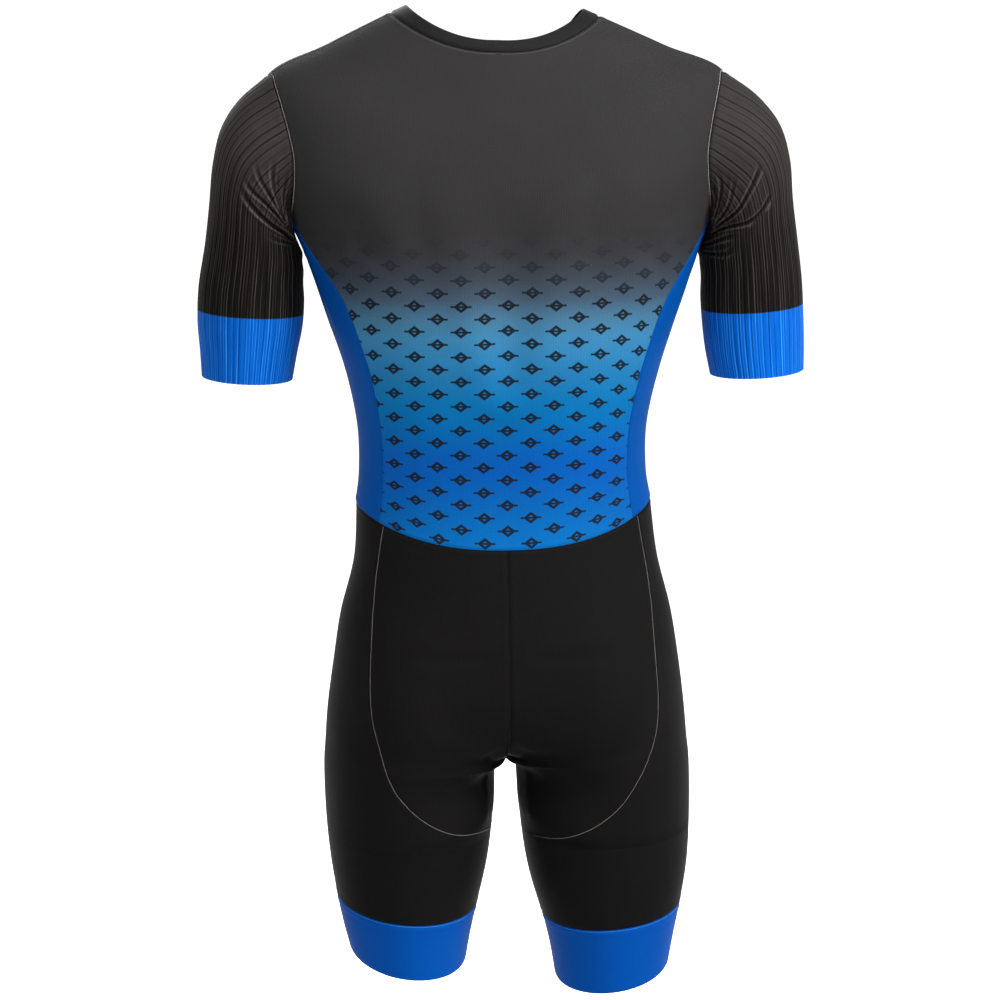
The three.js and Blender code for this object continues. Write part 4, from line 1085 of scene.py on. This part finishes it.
def threadRow(name, path, normals, look, material, slotName):
    # separate stitches laid along a seam, each a small flattened capsule
    steps = np.linalg.norm(np.diff(path, axis=0), axis=1)
    length = np.concatenate([[0], np.cumsum(steps)])
    count = max(int(length[-1] / look["pitch"]), 1)
    middles = (np.arange(count) + 0.5) * length[-1] / count
    centre = np.stack([np.interp(middles, length, path[:, k]) for k in range(3)], -1)
    ahead = np.stack([np.interp(middles + 0.4, length, path[:, k]) for k in range(3)], -1)
    before = np.stack([np.interp(middles - 0.4, length, path[:, k]) for k in range(3)], -1)
    up = np.stack([np.interp(middles, length, normals[:, k]) for k in range(3)], -1)
    run = ahead - before
    run /= np.linalg.norm(run, axis=1, keepdims=True)
    across = np.cross(up, run)
    across /= np.linalg.norm(across, axis=1, keepdims=True)
    slant = math.radians(look["slant"])
    run, across = (
        run * math.cos(slant) + across * math.sin(slant), across * math.cos(slant) - run * math.sin(slant))
    rings = np.array([[-0.5, 0.35], [-0.38, 0.85], [0, 1.0], [0.38, 0.85], [0.5, 0.35]])
    turns = np.arange(6) * math.pi / 3
    vertices = []
    for end, size in rings:
        for turn in turns:
            vertices.append(
                centre + run * end * look["length"]
                + across * size * math.cos(turn) * look["width"] / 2
                + up * (size * math.sin(turn) * look["height"] / 2 + look["lift"]))
    vertices = np.stack(vertices, 1)
    quads = [(6 * r + k, 6 * r + (k + 1) % 6, 6 * (r + 1) + (k + 1) % 6, 6 * (r + 1) + k)
             for r in range(4) for k in range(6)]
    caps = [(3, 2, 1, 0), (5, 4, 3, 0), (24, 25, 26, 27), (24, 27, 28, 29)]
    one = np.array(quads + caps)
    faces = (one[None] + 30 * np.arange(count)[:, None, None]).reshape(-1, 4)
    flat = vertices.reshape(-1, 3)
    cornerUv = np.stack([flat[faces.ravel(), 0], flat[faces.ravel(), 2]], -1)
    piece = finishMesh(name, flat, faces, cornerUv, [material], np.zeros(len(faces)))
    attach(piece, "suit")
    return piece


threads = {
    "armhole": {"pitch": 2.7, "length": 2.9, "width": 0.48, "height": 0.42, "lift": -0.1, "slant": 12},
    "seat": {"pitch": 2.6, "length": 2.7, "width": 0.4, "height": 0.36, "lift": -0.05, "slant": 10},
    "plain": {"pitch": 2.8, "length": 2.2, "width": 0.4, "height": 0.3, "lift": 0.12, "slant": 0},
    "band": {"pitch": 2.3, "length": 2.5, "width": 0.4, "height": 0.34, "lift": 0.0, "slant": 6},
    "centre": {"pitch": 2.6, "length": 2.8, "width": 0.6, "height": 0.5, "lift": -0.45, "slant": 10},
}
for side, word in ((1.0, "Right"), (-1.0, "Left")):
    turn = np.linspace(0, 360, 260)
    angle, row = armhole(turn, 1 + (panelGrow - 1) * 0.55)
    threadRow("armholeThread" + word, bodyPoint(angle, row, side), bodyNormal(angle, row, side),
              threads["armhole"], materials["greyThread"], "ribbed_knit")
    threadRow("seatThread" + word, *onShorts(*seatPath(word, 0.03, 0.004, 12), side),
              threads["seat"], materials["seatThread"], "black_knit")
    # stitches on the leg band's seam, pale blue as a painted highlight along its raised edge
    share = np.linspace(0, 1, 200)
    rows = np.full(200, legBandSeam + 0.035)
    threadRow("legBandHighlightThread" + word, *onShorts(share, rows, side),
              threads["band"], materials["blueHighlightThread"], "band_knit")
    angle = np.linspace(1, 176, 200)
    rows = np.full(200, neckSeam - 0.07)
    threadRow("neckThread" + word, bodyPoint(angle, rows, side), bodyNormal(angle, rows, side),
              threads["plain"], materials["dimThread"], "black_knit")
rows = np.linspace(0.05, 5.2, 120)
share = np.full(120, 0.002)
threadRow("centreBackThread", legPoint(share, rows, 1.0) * (0, 1, 1), legNormal(share, rows, 1.0),
          threads["centre"], materials["blackThread"], "black_knit")
print("threads done")

# Front zip: woven tapes, nylon coil, painted slider and pull tab
zipLook = {"bottom": 0.25, "top": 10.9, "coilHalf": 2.2, "tapeOuter": 15, "tapeUnder": 1.75, "tapeThick": 0.8}
tapeMaterial, tree, shader = newMaterial("wovenZipTape")
# woven polyester tape, close herringbone, matt black
across, up = clothCoordinates(tree)
centred = addNode(tree, "Math", (across, 6 * mm), operation="SUBTRACT")
folded = addNode(tree, "Math", (centred,), operation="ABSOLUTE")
slope = addNode(tree, "Math", (folded, up), operation="ADD")
turns = addNode(tree, "Math", (slope, 2 * math.pi / (1.1 * mm)), operation="MULTIPLY")
twill = addNode(tree, "Math", (turns,), operation="SINE")
share = addNode(tree, "Math", (twill, 0.3, 0.4), operation="MULTIPLY_ADD")
layer = {0: share, 6: hexToLinear("#141416"), 7: hexToLinear("#27272b")}
mixed = addNode(tree, "Mix", layer, out=2, data_type="RGBA")
bump = addNode(tree, "Bump", {"Height": twill, "Distance": 0.12 * mm})
tree.links.new(mixed, shader.inputs["Base Color"])
tree.links.new(bump, shader.inputs["Normal"])
shader.inputs["Roughness"].default_value = 0.75

for side, word in ((1.0, "Right"), (-1.0, "Left")):
    rows = np.linspace(zipLook["bottom"], zipLook["top"], 200)
    shares = np.linspace(0, 1, 9)[None, :]
    first = (180 - angleAt(rows, zipLook["tapeOuter"]))[:, None]
    last = (180 - angleAt(rows, zipLook["coilHalf"] + 0.3))[:, None]
    angle = first + (last - first) * shares
    row = np.broadcast_to(rows[:, None], angle.shape)
    points = bodyPoint(angle, row, side)
    normals = bodyNormal(angle, row, np.full(angle.shape, side))
    outer = points - normals * zipLook["tapeUnder"]
    inner = outer - normals * zipLook["tapeThick"]
    clothPiece("zipTape" + word, "zip_tape_" + word.lower(), [tapeMaterial, tapeMaterial],
               outer, inner, clothUv(points, False))

nylon, tree, shader = newMaterial("nylonCoil")
# drawn nylon monofilament, black, with a smooth waxy shine
place = addNode(tree, "TexCoord", out="Object")
speckle = addNode(tree, "TexNoise", {"Vector": place, "Scale": 900.0})
layer = {0: speckle, 6: hexToLinear("#17171a"), 7: hexToLinear("#242428")}
mixed = addNode(tree, "Mix", layer, out=2, data_type="RGBA")
tree.links.new(mixed, shader.inputs["Base Color"])
shader.inputs["Roughness"].default_value = 0.38
shader.inputs["IOR"].default_value = 1.53
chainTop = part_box("zip_chain")[1].z / mm
rows = np.linspace(zipLook["bottom"] + 0.01, 10.3, 400)
path = bodyPoint(180.0, rows, 1.0)
path = path[path[:, 2] < chainTop - 1.2]
upDirection = np.gradient(path, axis=0)
upDirection /= np.linalg.norm(upDirection, axis=1, keepdims=True)
outDirection = np.stack([np.zeros(len(path)), upDirection[:, 2], -upDirection[:, 1]], -1)
coil = {"pitch": 1.15, "length": 3.0, "width": 1.0, "height": 1.7, "lift": -0.75, "slant": 90}
for side, word in ((0.7, "Right"), (-0.7, "Left")):
    offset = path + np.array([side, 0, 0])
    offset = offset + upDirection * (0.24 if side > 0 else -0.24)
    threadRow("zipCoil" + word, offset, outDirection, coil, nylon, "zip_teeth")
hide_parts("zip_chain")

sliderPaint, tree, shader = newMaterial("paintedZinc")
# die-cast zinc, baked dark grey enamel, satin with a faint orange peel
place = addNode(tree, "TexCoord", out="Object")
peel = addNode(tree, "TexNoise", {"Vector": place, "Scale": 1400.0, "Detail": 3.0})
layer = {0: peel, 6: hexToLinear("#2b2c30"), 7: hexToLinear("#3b3c41")}
mixed = addNode(tree, "Mix", layer, out=2, data_type="RGBA")
bump = addNode(tree, "Bump", {"Height": peel, "Distance": 0.05 * mm})
tree.links.new(mixed, shader.inputs["Base Color"])
tree.links.new(bump, shader.inputs["Normal"])
shader.inputs["Metallic"].default_value = 0.85
shader.inputs["Roughness"].default_value = 0.34
for nodeName in ("zip_slider", "zip_pull"):
    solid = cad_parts[nodeName]
    for solidSlot in solid.material_slots:
        solidSlot.material = sliderPaint
print("zip done")

# Floor, light and camera
studio = {
    "floorZ": -1.42, "floorSize": 400.0, "nearFloor": "#c4c4c5", "farFloor": "#f4f4f4",
    "paleFrom": 0.55, "paleTo": 1.35, "glow": 0.85, "sky": 0.42, "horizon": 1.06, "room": 0.48,
}
floorMaterial, tree, shader = newMaterial("paleFloor")
# matt painted studio floor, pale grey, rising to a lit white sweep behind the suit
place = addNode(tree, "TexCoord", out="Object")
away = addNode(tree, "SeparateXYZ", (place,), out=1)
pale = addNode(tree, "MapRange", {
    "Value": away, "From Min": studio["paleFrom"], "From Max": studio["paleTo"],
}, interpolation_type="SMOOTHSTEP")
cloud = addNode(tree, "TexNoise", {"Vector": place, "Scale": 0.8})
layer = {0: pale, 6: hexToLinear(studio["nearFloor"]), 7: hexToLinear(studio["farFloor"])}
tint = addNode(tree, "Mix", layer, out=2, data_type="RGBA")
shade = addNode(tree, "Math", (cloud, 0.04, 0.98), operation="MULTIPLY_ADD")
tinted = addNode(tree, "HueSaturation", {"Value": shade, "Color": tint})
glow = addNode(tree, "Math", (pale, studio["glow"]), operation="MULTIPLY")
tree.links.new(tinted, shader.inputs["Base Color"])
tree.links.new(glow, shader.inputs["Emission Strength"])
shader.inputs["Roughness"].default_value = 0.9
shader.inputs["Specular IOR Level"].default_value = 0.1
shader.inputs["Emission Color"].default_value = (1, 1, 1, 1)
half = studio["floorSize"] / 2
floorMesh = bpy.data.meshes.new("floor")
corners = [(-half, -half, 0), (half, -half, 0), (half, half, 0), (-half, half, 0)]
floorMesh.from_pydata(corners, [], [(0, 1, 2, 3)])
floorMesh.materials.append(floorMaterial)
floor = bpy.data.objects.new("floor", floorMesh)
floor.location = (0, 0, studio["floorZ"])
bpy.context.scene.collection.objects.link(floor)

# white sweep behind the suit, dimmer overhead and in the room before its back,
# so that the lamps shape the cloth
world = bpy.data.worlds.new("studioSky")
bpy.context.scene.world = world
world.use_nodes = True
tree = world.node_tree
tree.nodes.clear()
direction = addNode(tree, "TexCoord", out="Generated")
parts = addNode(tree, "SeparateXYZ", (direction,), out=None).outputs
sweep = addNode(tree, "MapRange", {
    "Value": parts[1], "From Min": -0.2, "From Max": 0.45, "To Min": studio["room"], "To Max": 1.0,
}, interpolation_type="SMOOTHSTEP")
strength = addNode(tree, "MapRange", {
    "Value": parts[2], "From Min": 0.18, "From Max": 0.6,
    "To Min": studio["horizon"], "To Max": studio["sky"],
}, interpolation_type="SMOOTHSTEP")
total = addNode(tree, "Math", (strength, sweep), operation="MULTIPLY")
background = addNode(tree, "Background", {"Color": (1, 1, 1, 1), "Strength": total})
addNode(tree, "OutputWorld", (background,), out=None)
lamps = [
    {"name": "softboxKey", "at": (2.4, -1.7, 0.95), "size": 1.2, "power": 155},
    {"name": "softboxOverhead", "at": (0.3, -1.0, 1.8), "size": 1.3, "power": 66},
    {"name": "softboxFill", "at": (-2.3, -1.9, 0.0), "size": 1.4, "power": 26},
    {"name": "softboxLow", "at": (0.2, -3.2, -0.3), "size": 1.0, "power": 30},
    {"name": "softboxFront", "at": (-0.8, 2.3, 1.1), "size": 1.8, "power": 70},
]
for lamp in lamps:
    light = bpy.data.lights.new(lamp["name"], "AREA")
    light.shape = "SQUARE"
    light.size = lamp["size"]
    light.energy = lamp["power"]
    lampObject = bpy.data.objects.new(lamp["name"], light)
    lampObject.location = lamp["at"]
    aim = Vector((0, 0, -0.4)) - Vector(lamp["at"])
    lampObject.rotation_euler = aim.to_track_quat("-Z", "Y").to_euler()
    bpy.context.scene.collection.objects.link(lampObject)

view = {
    "azimuth": -3.0, "elevation": 9.0, "distance": 2.8, "target": (0, 0, -0.465),
    "lens": 106.1, "roll": 0.6, "shift": (-0.002, 0.002),
}
azimuth, elevation = math.radians(view["azimuth"]), math.radians(view["elevation"])
back = Vector((
    math.sin(azimuth) * math.cos(elevation), -math.cos(azimuth) * math.cos(elevation), math.sin(elevation)))
camera = bpy.data.cameras.new("camera")
camera.lens = view["lens"]
camera.sensor_width = 36
camera.sensor_fit = "HORIZONTAL"
camera.shift_x, camera.shift_y = view["shift"]
camera.clip_end = 60
cameraObject = bpy.data.objects.new("camera", camera)
rolled = Matrix.Rotation(math.radians(-view["roll"]), 4, "Z")
turned = back.to_track_quat("Z", "Y").to_matrix().to_4x4() @ rolled
cameraObject.matrix_world = Matrix.Translation(Vector(view["target"]) + back * view["distance"]) @ turned
bpy.context.scene.collection.objects.link(cameraObject)
bpy.context.scene.camera = cameraObject
bpy.context.scene.view_settings.view_transform = "Standard"
bpy.context.scene.view_settings.look = "None"
print("light and camera set")
